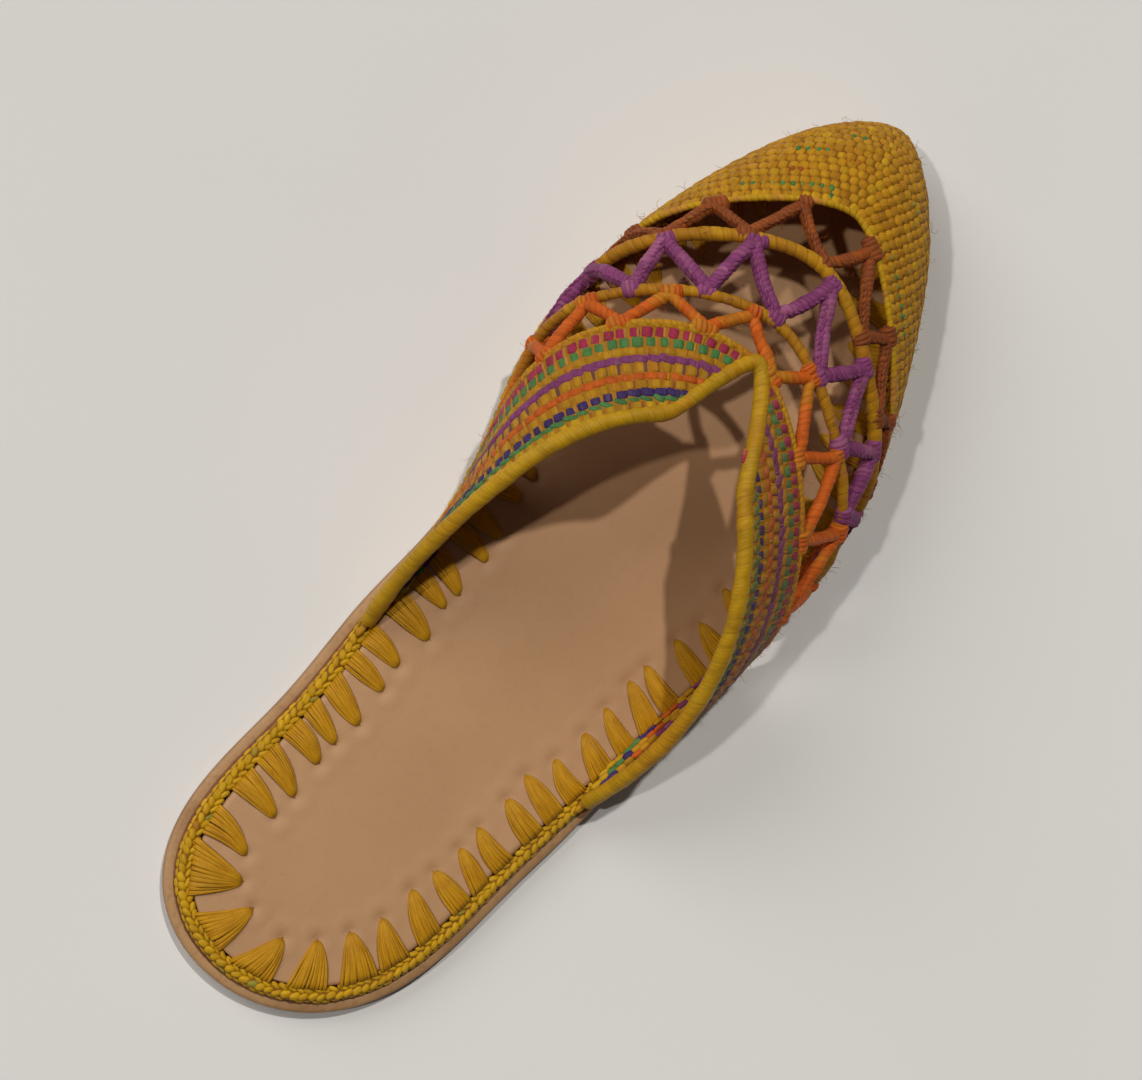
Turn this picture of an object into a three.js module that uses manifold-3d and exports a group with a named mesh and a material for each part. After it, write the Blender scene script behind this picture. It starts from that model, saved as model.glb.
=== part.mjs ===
// Flat crocheted raffia mule for the right foot, in millimetres.
// +Y runs from the heel to the toe, +X to the wearer's right and +Z up.
// The shoe stands empty on its outsole, with the origin under the middle of its box.

import * as THREE from 'three';
import { mergeVertices } from 'three/addons/utils/BufferGeometryUtils.js';
import Module from 'manifold-3d';

const wasm = await Module();
wasm.setup();
const { clamp, lerp, smoothstep } = THREE.MathUtils;
const QUARTER_TURN = Math.PI / 2;

// Plan of the last, measured from the back of the heel at the outer edge of the braid
const LENGTH = 262;
const HEEL_HALF_WIDTH = 33.2;
const HEEL_DEPTH = 52;
const HEEL_ROUNDNESS = 3.2;
const INNER_BALL_HALF_WIDTH = 47.8;
const OUTER_BALL_HALF_WIDTH = 43.2;
const BALL_FROM_HEEL = 172;
const INNER_WAIST = { depth: 3.7, fromHeel: 124, reach: 42 };
const TOE_TAPER = 1.5;
const TOE_ROUNDNESS = 0.672;
const SIDE_BOW = 10.7;

// Rise of the ridge over the top of the braid, measured from the tip of the toe
const TOE_DOME = { height: 19, length: 26, power: 2.2 };
const INSTEP_RISE = 0.32;
const INSTEP_SAG = 0.0004;

// Cross-section of the upper
const SHOULDER_FULLNESS = 0.81;
const CROWN_FULLNESS = 0.88;
const SIDE_BULGE = 2.2;
const BULGE_FROM_HALF_WIDTH = 20;
const RIDGE_LEAN = -6.1;
const LEAN_FROM_TOE = 60;

// Layers of the sole, from the floor up
const GAP = 0.3;
const OUTSOLE_THICKNESS = 4.5;
const OUTSOLE_HEEL_MARGIN = 2.8;
const OUTSOLE_TOE_MARGIN = -0.8;
const MARGIN_FADE = { from: 70, to: 130 };
const INSOLE_THICKNESS = 2.6;
const BRAID = { width: 3.5, height: 3.2, chamfer: 0.8 };
const TOE_SPRING = { from: 190, height: 3 };
const BRAID_BASE = OUTSOLE_THICKNESS + GAP;
const UPPER_BASE = BRAID_BASE + BRAID.height + GAP;

// Wall and ropes of the upper, as depths inwards from the last's own surface
const WALL_OUTSIDE = 0.6;
const WALL_INSIDE = 2.8;
const WALL_MIDDLE = (WALL_OUTSIDE + WALL_INSIDE) / 2;
const ARCH_CORD_RADIUS = 1.4;
const ZIGZAG_RADIUS = 1.7;
const ROLL_RADIUS = 2.2;
const KNOT_SETBACK = 1.4;
const CAP_CROWDING = 1.5;

// Arches over the foot, each at its distance from the toe on the ridge and at the sole,
// with the skew that carries its right half further back than its left
const ARCH_LEAN = 0.727;
const ARCHES = {
  capEdge: { ridge: 31.8, foot: 76.3, skew: 0 },
  firstCord: { ridge: 47.7, foot: 85.4, skew: 0 },
  secondCord: { ridge: 66.6, foot: 106.4, skew: 0 },
  bandFront: { ridge: 77.7, foot: 132, skew: 4.1 },
};

// Open zigzags: knots on the arch in front, the first one at this share of the arch,
// and the part of their spread that the knots on the arch behind keep
const ZIGZAGS = [
  { front: 'capEdge', back: 'firstCord', knots: 7, lead: 0.115, backSpread: 0.94 },
  { front: 'firstCord', back: 'secondCord', knots: 7, lead: 0.09, backSpread: 0.76 },
  { front: 'secondCord', back: 'bandFront', knots: 8, lead: 0.07, backSpread: 0.86 },
];
const BACK_KNOT_MIDDLE = 0.514;
const KNOTS_END = 0.94;

// Topline: the collar falls to the sole on both sides of a notch over the instep
const COLLAR = { ridge: 97.8, foot: 180.5, fall: 1.225, softness: 0.03 };
const NOTCH = { depth: 20, inner: 0.096, outer: 0.15, tip: 0.012, corner: 0.15 };

// Fineness of the facets
const PLAN_STEPS = 34;
const CAP_GRID = { across: 28, along: 7 };
const BAND_GRID = { across: 46, along: 3 };
const ARCH_SAMPLES = 160;
const CORD_STEPS = 30;
const LEG_STEPS = 2;
const ROLL_STEPS = 72;
const CORD_SIDES = 6;
const LEG_SIDES = 5;
const ROLL_SIDES = 8;
const WELD = 1e-4;

const STRAW = 0xc79a1c;
const YELLOW = 0xd0a61d;
const TAN = 0xa9794f;
const SAND = 0xb58d66;

// Hollow of the inner side at the waist
function waistHollow(y) {
  const { depth, fromHeel, reach } = INNER_WAIST;
  return depth * Math.cos(clamp((y - fromHeel) / reach, -1, 1) * QUARTER_TURN) ** 2;
}

// Half width of the last at a distance from the heel: side is negative on the inner side
function halfWidth(y, side) {
  const ball = side < 0 ? INNER_BALL_HALF_WIDTH : OUTER_BALL_HALF_WIDTH;
  const hollow = side < 0 ? waistHollow(y) : 0;
  if (y < HEEL_DEPTH) {
    const back = 1 - Math.max(y, 0) / HEEL_DEPTH;
    return HEEL_HALF_WIDTH * Math.sqrt(1 - back ** HEEL_ROUNDNESS);
  }
  if (y < BALL_FROM_HEEL) {
    return lerp(HEEL_HALF_WIDTH, ball, smoothstep(y, HEEL_DEPTH, BALL_FROM_HEEL)) - hollow;
  }
  const along = Math.min((y - BALL_FROM_HEEL) / (LENGTH - BALL_FROM_HEEL), 1);
  return ball * (1 - along ** TOE_TAPER) ** TOE_ROUNDNESS;
}

// Sideways bow of the middle of the last
function centreLine(y) {
  return SIDE_BOW * Math.sin(Math.PI * clamp(y / LENGTH, 0, 1));
}

// Height of the ridge at a distance from the toe
function ridgeHeight(fromToe) {
  const back = 1 - clamp(fromToe / TOE_DOME.length, 0, 1);
  const dome = TOE_DOME.height * Math.sqrt(1 - back ** TOE_DOME.power);
  return dome + INSTEP_RISE * fromToe - INSTEP_SAG * fromToe ** 2;
}

// Point of the last: across runs from -1 at the left side over the ridge to 1 at the right
function lastPoint(fromToe, across, depth) {
  const shrink = 1 - depth / OUTER_BALL_HALF_WIDTH;
  const reach = Math.max(fromToe - depth, 0);
  const width = shrink * halfWidth(LENGTH - reach, across);
  const height = shrink * ridgeHeight(reach);
  const y = LENGTH - fromToe;
  const angle = Math.abs(across) * QUARTER_TURN;
  const rise = Math.max(Math.cos(angle), 0);
  const bulge = SIDE_BULGE * Math.min(width / BULGE_FROM_HALF_WIDTH, 1);
  const side = width * Math.sin(angle) ** SHOULDER_FULLNESS + bulge * Math.sin(Math.PI * across ** 2);
  const lean = RIDGE_LEAN * rise * Math.min(fromToe / LEAN_FROM_TOE, 1);
  const x = centreLine(y) + lean + Math.sign(across) * side;
  return new THREE.Vector3(x, y, UPPER_BASE + height * rise ** CROWN_FULLNESS);
}

// Distance of an arch from the toe
function archDistance(arch, across) {
  const fall = 1 - Math.cos(across * QUARTER_TURN);
  return lerp(arch.ridge, arch.foot, fall ** ARCH_LEAN) + arch.skew * Math.sin(Math.PI * across);
}

// Distance of the topline from the toe
function collarDistance(across) {
  const share = Math.hypot(across, COLLAR.softness) - COLLAR.softness;
  const wing = across < 0 ? NOTCH.inner : NOTCH.outer;
  const inside = 1 - (Math.hypot(across, NOTCH.tip) - NOTCH.tip) / wing;
  const notch = (NOTCH.depth * (inside + Math.hypot(inside, NOTCH.corner))) / 2;
  return lerp(COLLAR.ridge, COLLAR.foot, share ** COLLAR.fall) - notch;
}

// Evenly spaced values from first to last
function spread(first, last, steps) {
  return Array.from({ length: steps + 1 }, (_, i) => lerp(first, last, i / steps));
}

// Closed geometry from points and quads, without doubled points or flat triangles
function closedGeometry(points, quads) {
  const corners = quads.flatMap(([a, b, c, d]) => [a, b, c, a, c, d]);
  const raw = new THREE.BufferGeometry().setFromPoints(points).setIndex(corners);
  const welded = mergeVertices(raw, WELD);
  const index = Array.from(welded.index.array);
  const kept = [];
  for (let i = 0; i < index.length; i += 3) {
    const [a, b, c] = index.slice(i, i + 3);
    if (a !== b && b !== c && c !== a) kept.push(a, b, c);
  }
  return welded.setIndex(kept);
}

// Loop round the plan of the last, anticlockwise from the heel, grown outwards
function planLoop(growAt, z) {
  const stations = spread(0, Math.PI, PLAN_STEPS).map((turn) => (LENGTH * (1 - Math.cos(turn))) / 2);
  const right = stations.map((y) => new THREE.Vector2(centreLine(y) + halfWidth(y, 1), y));
  const left = stations.slice(1, -1).map((y) => new THREE.Vector2(centreLine(y) - halfWidth(y, -1), y));
  const loop = [...right, ...left.reverse()];
  return loop.map((point, i) => {
    const next = loop[(i + 1) % loop.length];
    const previous = loop[(i + loop.length - 1) % loop.length];
    const along = next.clone().sub(previous).normalize();
    const grow = growAt(point.y);
    return new THREE.Vector3(point.x + along.y * grow, point.y - along.x * grow, z);
  });
}

// Solid through stacked plan loops: capped below and above, or closed round into a ring
function stackedLoops(loops, isRing) {
  const count = loops[0].length;
  const quads = [];
  const last = isRing ? loops.length : loops.length - 1;
  for (let level = 0; level < last; level += 1) {
    const lower = level * count;
    const upper = ((level + 1) % loops.length) * count;
    for (let i = 0; i < count; i += 1) {
      const next = (i + 1) % count;
      quads.push([lower + i, lower + next, upper + next, upper + i]);
    }
  }
  const top = (loops.length - 1) * count;
  for (let i = 0; i < PLAN_STEPS && !isRing; i += 1) {
    const leftHere = (count - i) % count;
    const leftNext = count - i - 1;
    quads.push([top + i, top + i + 1, top + leftNext, top + leftHere]);
    quads.push([i, leftHere, leftNext, i + 1]);
  }
  return closedGeometry(loops.flat(), quads);
}

// Wall between two lines over the last, with its real thickness and closed edges
function wallPatch(grid, distanceAt) {
  const columns = spread(-1, 1, grid.across);
  const rows = spread(0, 1, grid.along);
  const layer = (depth) => rows.flatMap((share) => columns.map((across) => (
    lastPoint(distanceAt(across, share, depth), across, depth))));
  const points = [...layer(WALL_OUTSIDE), ...layer(WALL_INSIDE)];
  const outside = (row, column) => row * columns.length + column;
  const inside = (row, column) => rows.length * columns.length + outside(row, column);
  const quads = [];
  for (let row = 0; row < grid.along; row += 1) {
    for (let column = 0; column < grid.across; column += 1) {
      quads.push([outside(row, column), outside(row + 1, column),
        outside(row + 1, column + 1), outside(row, column + 1)]);
      quads.push([inside(row, column), inside(row, column + 1),
        inside(row + 1, column + 1), inside(row + 1, column)]);
    }
    quads.push([outside(row, 0), inside(row, 0), inside(row + 1, 0), outside(row + 1, 0)]);
    quads.push([outside(row, grid.across), outside(row + 1, grid.across),
      inside(row + 1, grid.across), inside(row, grid.across)]);
  }
  for (let column = 0; column < grid.across; column += 1) {
    quads.push([outside(0, column), outside(0, column + 1), inside(0, column + 1), inside(0, column)]);
    quads.push([outside(grid.along, column), inside(grid.along, column),
      inside(grid.along, column + 1), outside(grid.along, column + 1)]);
  }
  return closedGeometry(points, quads);
}

// Path carried straight on past both ends, so that the rope can be trimmed flat
function carriedOn(points) {
  const beyond = (end, before) => end.clone().multiplyScalar(2).sub(before);
  return [beyond(points[0], points[1]), ...points, beyond(points.at(-1), points.at(-2))];
}

// Round rope through points
function rope(points, radius, steps, sides) {
  const section = new THREE.Shape(spread(0, 2 * Math.PI, sides).slice(0, sides)
    .map((turn) => new THREE.Vector2(radius * Math.cos(turn), radius * Math.sin(turn))));
  const path = new THREE.CatmullRomCurve3(points);
  const tube = new THREE.ExtrudeGeometry(section, { steps, bevelEnabled: false, extrudePath: path });
  tube.deleteAttribute('normal');
  tube.deleteAttribute('uv');
  return mergeVertices(tube, WELD);
}

function toManifold(geometry) {
  return new wasm.Manifold(new wasm.Mesh({
    numProp: 3,
    vertProperties: new Float32Array(geometry.attributes.position.array),
    triVerts: new Uint32Array(geometry.index.array),
  }));
}

function toGeometry(manifold) {
  const mesh = manifold.getMesh();
  const geometry = new THREE.BufferGeometry();
  geometry.setAttribute('position', new THREE.BufferAttribute(mesh.vertProperties, 3));
  return geometry.setIndex(new THREE.BufferAttribute(mesh.triVerts, 1));
}

// Everything above the top of the braid, where the upper is sewn on
function aboveBraid() {
  const room = new THREE.BoxGeometry(2 * LENGTH, 4 * LENGTH, LENGTH);
  room.translate(0, 0, UPPER_BASE + LENGTH / 2);
  room.deleteAttribute('normal');
  room.deleteAttribute('uv');
  return toManifold(mergeVertices(room, WELD));
}

// Shares of an arch's own length turned into places across the foot
function placeAlongArch(arch) {
  const places = spread(-1, 1, ARCH_SAMPLES);
  const points = places.map((across) => lastPoint(archDistance(arch, across), across, WALL_MIDDLE));
  const lengths = [0];
  for (let i = 1; i < points.length; i += 1) lengths.push(lengths[i - 1] + points[i].distanceTo(points[i - 1]));
  return (share) => {
    const wanted = share * lengths[ARCH_SAMPLES];
    const i = clamp(lengths.findIndex((length) => length >= wanted), 1, ARCH_SAMPLES);
    return lerp(places[i - 1], places[i], (wanted - lengths[i - 1]) / (lengths[i] - lengths[i - 1]));
  };
}

// Knots of a zigzag in order from the left: each at a distance from the toe and a place across
function zigzagKnots(zigzag) {
  const front = ARCHES[zigzag.front];
  const back = ARCHES[zigzag.back];
  const alongFront = placeAlongArch(front);
  const alongBack = placeAlongArch(back);
  const sewnDown = (front.foot + back.foot) / 2;
  const knots = [{ fromToe: sewnDown, across: -1 }];
  for (let i = 1; i < 2 * zigzag.knots; i += 1) {
    const share = zigzag.lead + (i - 1) / (2 * zigzag.knots);
    const isFront = i % 2 === 1;
    const backShare = BACK_KNOT_MIDDLE + zigzag.backSpread * (share - 0.5);
    const across = isFront ? alongFront(share) : alongBack(backShare);
    const fromToe = isFront
      ? archDistance(front, across) + KNOT_SETBACK
      : archDistance(back, across) - KNOT_SETBACK;
    if (Math.abs(across) < KNOTS_END) knots.push({ fromToe, across });
  }
  knots.push({ fromToe: sewnDown, across: 1 });
  return knots;
}

// Straight legs of a zigzag, bent over the last
function zigzagLegs(zigzag) {
  const knots = zigzagKnots(zigzag);
  return knots.slice(1).map((end, i) => {
    const start = knots[i];
    const points = spread(0, 1, LEG_STEPS).map((share) => lastPoint(
      lerp(start.fromToe, end.fromToe, share), lerp(start.across, end.across, share), WALL_MIDDLE));
    return rope(points, ZIGZAG_RADIUS, LEG_STEPS, LEG_SIDES);
  });
}

function archCord(arch) {
  const points = spread(-1, 1, CORD_STEPS)
    .map((across) => lastPoint(archDistance(arch, across), across, WALL_MIDDLE));
  return rope(carriedOn(points), ARCH_CORD_RADIUS, CORD_STEPS, CORD_SIDES);
}

function collarRope(radius) {
  const points = spread(-1, 1, ROLL_STEPS)
    .map((across) => lastPoint(collarDistance(across), across, WALL_MIDDLE));
  return toManifold(rope(carriedOn(points), radius, ROLL_STEPS, ROLL_SIDES));
}

function outsole() {
  const profile = [
    { inset: 1.2, z: 0 },
    { inset: 0, z: 1 },
    { inset: 0, z: OUTSOLE_THICKNESS - 0.8 },
    { inset: 0.8, z: OUTSOLE_THICKNESS },
  ];
  const margin = (y) => lerp(OUTSOLE_HEEL_MARGIN, OUTSOLE_TOE_MARGIN,
    smoothstep(y, MARGIN_FADE.from, MARGIN_FADE.to));
  return stackedLoops(profile.map(({ inset, z }) => planLoop((y) => margin(y) - inset, z)), false);
}

function insole() {
  const edge = BRAID.width + GAP;
  const profile = [
    { inset: edge, z: 0 },
    { inset: edge, z: INSOLE_THICKNESS - 0.6 },
    { inset: edge + 0.6, z: INSOLE_THICKNESS },
  ];
  return stackedLoops(profile.map(({ inset, z }) => planLoop(() => -inset, BRAID_BASE + z)), false);
}

function edgeBraid() {
  const { width, height, chamfer } = BRAID;
  const profile = [
    { inset: chamfer, z: 0 },
    { inset: 0, z: chamfer },
    { inset: 0, z: height - chamfer / 2 },
    { inset: chamfer / 2, z: height },
    { inset: width - chamfer, z: height },
    { inset: width, z: height - chamfer },
    { inset: width, z: chamfer },
    { inset: width - chamfer, z: 0 },
  ];
  return stackedLoops(profile.map(({ inset, z }) => planLoop(() => -inset, BRAID_BASE + z)), true);
}

// Toe cap, zigzags, cords and striped band, crocheted into one open wall
function upper() {
  const cap = wallPatch(CAP_GRID, (across, share, depth) => (
    lerp(depth, archDistance(ARCHES.capEdge, across), share ** CAP_CROWDING)));
  const band = wallPatch(BAND_GRID, (across, share) => {
    const back = collarDistance(across);
    const front = Math.min(archDistance(ARCHES.bandFront, across), back - GAP);
    return lerp(front, back, share);
  });
  const ropes = [
    archCord(ARCHES.firstCord),
    archCord(ARCHES.secondCord),
    ...ZIGZAGS.flatMap(zigzagLegs),
  ];
  const joined = [band, ...ropes].reduce((whole, piece) => whole.add(toManifold(piece)), toManifold(cap));
  return toGeometry(joined.subtract(collarRope(ROLL_RADIUS + GAP)).intersect(aboveBraid()));
}

function collarRoll() {
  return toGeometry(collarRope(ROLL_RADIUS).intersect(aboveBraid()));
}

// Lift of the toe off the floor, the same for every layer
function springToe(geometry) {
  const position = geometry.attributes.position;
  for (let i = 0; i < position.count; i += 1) {
    const along = clamp((position.getY(i) - TOE_SPRING.from) / (LENGTH - TOE_SPRING.from), 0, 1);
    position.setZ(i, position.getZ(i) + TOE_SPRING.height * along ** 2);
  }
  geometry.computeVertexNormals();
  return geometry;
}

const PIECES = [
  { name: 'outsole', make: outsole, color: TAN, roughness: 0.6 },
  { name: 'insole', make: insole, color: SAND, roughness: 0.55 },
  { name: 'edge_braid', make: edgeBraid, color: STRAW, roughness: 0.75 },
  { name: 'upper', make: upper, color: STRAW, roughness: 0.75 },
  { name: 'collar_roll', make: collarRoll, color: YELLOW, roughness: 0.7 },
];

const shoe = new THREE.Group();
for (const { name, make, color, roughness } of PIECES) {
  const material = new THREE.MeshStandardMaterial({ color, roughness, metalness: 0 });
  const piece = new THREE.Mesh(springToe(make()), material);
  piece.name = name;
  shoe.add(piece);
}

const middle = new THREE.Box3().setFromObject(shoe).getCenter(new THREE.Vector3());
shoe.position.set(-middle.x, -middle.y, 0);

export default shoe;
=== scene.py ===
"""Looks of a flat crocheted raffia mule for the right foot.

Shapes are worked out in millimetres in the shoe's own axes: y from the back of the heel to the toe tip,
x to the wearer's right, z up from the floor. place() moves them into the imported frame, in metres.
"""
import math
from typing import NamedTuple

import bpy
import numpy as np
from mathutils import Matrix, Vector


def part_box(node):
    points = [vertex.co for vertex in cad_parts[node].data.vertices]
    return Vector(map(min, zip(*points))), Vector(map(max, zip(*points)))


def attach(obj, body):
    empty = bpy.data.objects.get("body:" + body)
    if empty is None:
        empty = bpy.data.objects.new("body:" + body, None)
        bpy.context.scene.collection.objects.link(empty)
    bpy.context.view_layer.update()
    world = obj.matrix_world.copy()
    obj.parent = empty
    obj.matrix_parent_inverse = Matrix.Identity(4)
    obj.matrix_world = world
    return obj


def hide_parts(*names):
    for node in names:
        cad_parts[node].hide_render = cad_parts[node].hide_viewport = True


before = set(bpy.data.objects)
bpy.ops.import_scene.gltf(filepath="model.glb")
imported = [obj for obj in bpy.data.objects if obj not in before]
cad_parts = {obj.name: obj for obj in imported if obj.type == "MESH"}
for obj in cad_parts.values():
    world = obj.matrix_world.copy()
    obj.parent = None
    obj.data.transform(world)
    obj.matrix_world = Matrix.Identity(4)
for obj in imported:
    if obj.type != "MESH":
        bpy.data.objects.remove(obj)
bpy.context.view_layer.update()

MM = 0.001

# Last and sole, with the same sizes as the solids
LENGTH = 262.0
HEEL_HALF_WIDTH = 33.2
HEEL_DEPTH = 52.0
HEEL_ROUNDNESS = 3.2
INNER_BALL_HALF_WIDTH = 47.8
OUTER_BALL_HALF_WIDTH = 43.2
BALL_FROM_HEEL = 172.0
WAIST_HOLLOW = 3.7
WAIST_FROM_HEEL = 124.0
WAIST_REACH = 42.0
TOE_TAPER = 1.5
TOE_ROUNDNESS = 0.672
SIDE_BOW = 10.7
DOME_HEIGHT = 19.0
DOME_LENGTH = 26.0
DOME_POWER = 2.2
INSTEP_RISE = 0.32
INSTEP_SAG = 0.0004
SHOULDER_FULLNESS = 0.81
CROWN_FULLNESS = 0.88
SIDE_BULGE = 2.2
BULGE_FROM_HALF_WIDTH = 20.0
RIDGE_LEAN = -6.1
LEAN_FROM_TOE = 60.0
SPRING_FROM = 190.0
SPRING_HEIGHT = 3.0
OUTSOLE_THICKNESS = 4.5
OUTSOLE_HEEL_MARGIN = 2.8
OUTSOLE_TOE_MARGIN = -0.8
MARGIN_FADE_FROM = 70.0
MARGIN_FADE_TO = 130.0
INSOLE_TOP = 7.4
INSOLE_BOTTOM = 4.8
INSOLE_INSET = 3.8
BRAID_WIDTH = 3.5
UPPER_BASE = 8.3
WALL_CENTRE = 1.1
ROPE_DEPTH = 1.7

# Arches, knots and notch
ARCH_LEAN = 0.727
KNOT_SETBACK = 1.4
BACK_KNOT_MIDDLE = 0.514
KNOTS_END = 0.94
COLLAR_RIDGE = 97.8
COLLAR_FOOT = 180.5
COLLAR_FALL = 1.225
COLLAR_SOFTNESS = 0.03
NOTCH_DEPTH = 20.0
NOTCH_INNER = 0.096
NOTCH_OUTER = 0.15
NOTCH_TIP = 0.012
NOTCH_CORNER = 0.15

# Points along lines
PLAN_SAMPLES = 1200
CURVE_SAMPLES = 700
FRAME_POINTS = 900
OUTSOLE_POINTS = 520
SOCK_POINTS = 1600
RIM_POINTS = 1800
EDGE_POINTS = 300
CORD_POINTS = 400
COLLAR_POINTS = 900
COLLAR_MARKS = 700
LEG_POINTS = 24
KNOT_POINTS = 12

# Sock, tufts and braid
SOCK_ROWS = 330
SOCK_COLUMNS = 110
SOCK_END_ROOM = 0.2
SOCK_EDGE_DROP = 0.5
SOCK_EDGE_WIDTH = 1.2
SOCK_WAVE = 0.12
SOCK_WAVE_ACROSS = 11.0
SOCK_WAVE_ALONG = 17.0
SOCK_WAVE_PHASE = 0.7
DIMPLE_DEPTH = 0.5
DIMPLE_RADIUS = 1.3
DIMPLE_RIM = 0.13
DIMPLE_RIM_RADIUS = 3.4
DIMPLE_RIM_WIDTH = 1.6
NEEDLE_HOLE_RADIUS = 0.6
TUFT_PITCH = 8.0
TUFT_SHIFT = 0.12
TUFT_LENGTH = 11.8
TUFT_REACH = (0.88, 1.08)
TUFT_HALF_WIDTH = 2.2
TUFT_FILL = 0.72
TUFT_SLANT = 0.22
TUFT_TUCK = 0.3
TUFT_LIFT = 0.2
TUFT_DIVE = 1.1
TUFT_TIP_SHADE = 0.66
TUFT_STRANDS = 11
TUFT_STRAND = 0.10
TUFT_STRAND_THICK = 0.15
TUFTS_STOP = 24.0
BRAID_STITCH = 2.2
BRAID_CORE_HEIGHT = 6.15
BRAID_CORE_HALF_WIDTH = 1.45
BRAID_CORE_HALF_HEIGHT = 1.1
BRAID_FLECKS = ("green", "rust", "teal")
BRAID_FLECK_CHANCE = 0.06
HEM_STITCH = 2.6
HEM_SHIFT = 0.33
HEM_STOP = 4.0
HEM_STEP_BACK = 3.0
HEM_DYE_STEP = 7.0
SEAM_STOP = 1.0
RIM_BLUNT = 2.6
RIM_INSET_SPREAD = 0.15
RIM_HEIGHT_SPREAD = 0.12
RIM_WIDTH_SPREAD = 0.15
RIM_TIP_OVER = 0.3
RIM_END_SHADE = 0.28
RIM_GROOVE = 0.15


class Arch(NamedTuple):
    """Distance of an arched line from the toe, on the ridge and at the sole, and its lag on the right."""
    ridge: float
    foot: float
    skew: float = 0.0


CAP_EDGE = Arch(ridge=31.8, foot=76.3)
FIRST_CORD = Arch(ridge=47.7, foot=85.4)
SECOND_CORD = Arch(ridge=66.6, foot=106.4)
BAND_FRONT = Arch(ridge=77.7, foot=132.0, skew=4.1)


class Winding(NamedTuple):
    """Raffia wound round a cord: the outer radius, the step, depth and unevenness of the turns, and the
    painted shade in the creases between them.
    """
    radius: float
    pitch: float
    depth: float
    lumps: float
    crease_shade: float
    starts: int = 1
    chained: bool = False


EDGE_WINDING = Winding(radius=0.85, pitch=1.5, depth=0.10, lumps=0.10, crease_shade=0.25)
BROWN_WINDING = Winding(radius=1.56, pitch=1.25, depth=0.15, lumps=0.16, crease_shade=0.32, starts=2,
                        chained=True)
PURPLE_WINDING = Winding(radius=1.86, pitch=1.40, depth=0.16, lumps=0.15, crease_shade=0.30, starts=2,
                         chained=True)
ORANGE_WINDING = Winding(radius=1.54, pitch=1.70, depth=0.12, lumps=0.14, crease_shade=0.20, starts=2)
KNOT_WINDING = Winding(radius=2.12, pitch=1.25, depth=0.30, lumps=0.24, crease_shade=0.34)
FRONT_CORD_WINDING = Winding(radius=1.66, pitch=2.6, depth=0.12, lumps=0.12, crease_shade=0.26)
BACK_CORD_WINDING = Winding(radius=1.40, pitch=2.4, depth=0.11, lumps=0.12, crease_shade=0.22)
COLLAR_WINDING = Winding(radius=1.98, pitch=3.8, depth=0.06, lumps=0.16, crease_shade=0.12)
THREAD_END_WINDING = Winding(radius=0.75, pitch=0.9, depth=0.12, lumps=0.2, crease_shade=0.25)
THREAD_END_ACROSS = (0.111, 0.129)

# Turns, chains and knots of the ropes
ROPE_SIDES = 14
ROPE_STEP = 0.2
ROPE_LEAST_STEPS = 12
ROPE_END = 0.7
ROPE_WANDER = 0.25
ROPE_WANDER_STEP = 6.0
CREASE_WIDTH = 0.2
TURN_STEPS = 6
TURN_WANDER = 0.22
TURN_SWELL = 0.5
TURN_TONE = (0.90, 1.08)
SECOND_DYE_DRIFT = 0.45
SECOND_DYE_SIZE = 1.3
CHAIN_STITCH = 1.6
CHAIN_OVERLAP = 1.3
CHAIN_TURN = 0.70
CHAIN_TWIST = 0.5
CHAIN_TURN_SPREAD = 0.12
CHAIN_BLUNT = 2.4
CHAIN_END_SHADE = 0.65
CHAIN_SINK = 0.1
CHAIN_HALF_WIDTH = 0.44
CHAIN_HALF_HEIGHT = 0.34
KNOT_HALF_SPAN = 2.8
KNOT_PULL = 0.45

# Loose fibre ends
STRAY_FIBRES = (
    (CAP_EDGE, "straw", 30), (FIRST_CORD, "sienna", 80),
    (SECOND_CORD, "lilac", 80), (BAND_FRONT, "orange", 50),
)
STRAYS_ON_BAND = 60
STRAYS_ON_CAP = 60
STRAY_SHIFT = (-6.0, 3.0)
STRAY_LENGTH = (0.6, 2.4)
STRAY_DROOP = 0.35
STRAY_CURL = 0.3
ROPE_STRAY_DEPTH = 0.4
WALL_STRAY_DEPTH = 0.2

# Strands and stitches
FIBRE_REPEAT = 900.0
STITCH_STEPS = 8
STITCH_SIDES = 8
STITCH_END_SHADE = 0.26
STITCH_REACH = 1.95
STITCH_HEIGHT_SPREAD = 0.07
STITCH_WIDTH_SPREAD = 0.12
STITCH_LEAN_SPREAD = 0.18
STITCH_SHIFT = 0.08
STITCH_PROUD = 0.12
GROOVE_WIDTH = 0.4


class Zigzag(NamedTuple):
    """A rope laid back and forth between two arches."""
    name: str
    front: Arch
    back: Arch
    dyes: tuple
    knots: int
    lead: float
    back_spread: float
    winding: Winding


ZIGZAGS = (
    Zigzag("brown_zigzag", CAP_EDGE, FIRST_CORD, ("sienna", "rust"), 7, 0.115, 0.94, BROWN_WINDING),
    Zigzag("purple_zigzag", FIRST_CORD, SECOND_CORD, ("purple", "lilac"), 7, 0.09, 0.76, PURPLE_WINDING),
    Zigzag("orange_zigzag", SECOND_CORD, BAND_FRONT, ("orange", "amber"), 8, 0.07, 0.86, ORANGE_WINDING),
)


class Stitch(NamedTuple):
    """Form of a row's stitches: width by the pitch, height by the row, half thickness in millimetres."""
    wide: float
    tall: float
    thick: float
    blunt: float = 3.0
    lean: float = 0.1
    tilt: float = 0.0
    groove: float = 0.0
    square: float = 1.0
    sides: int = STITCH_SIDES


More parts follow.
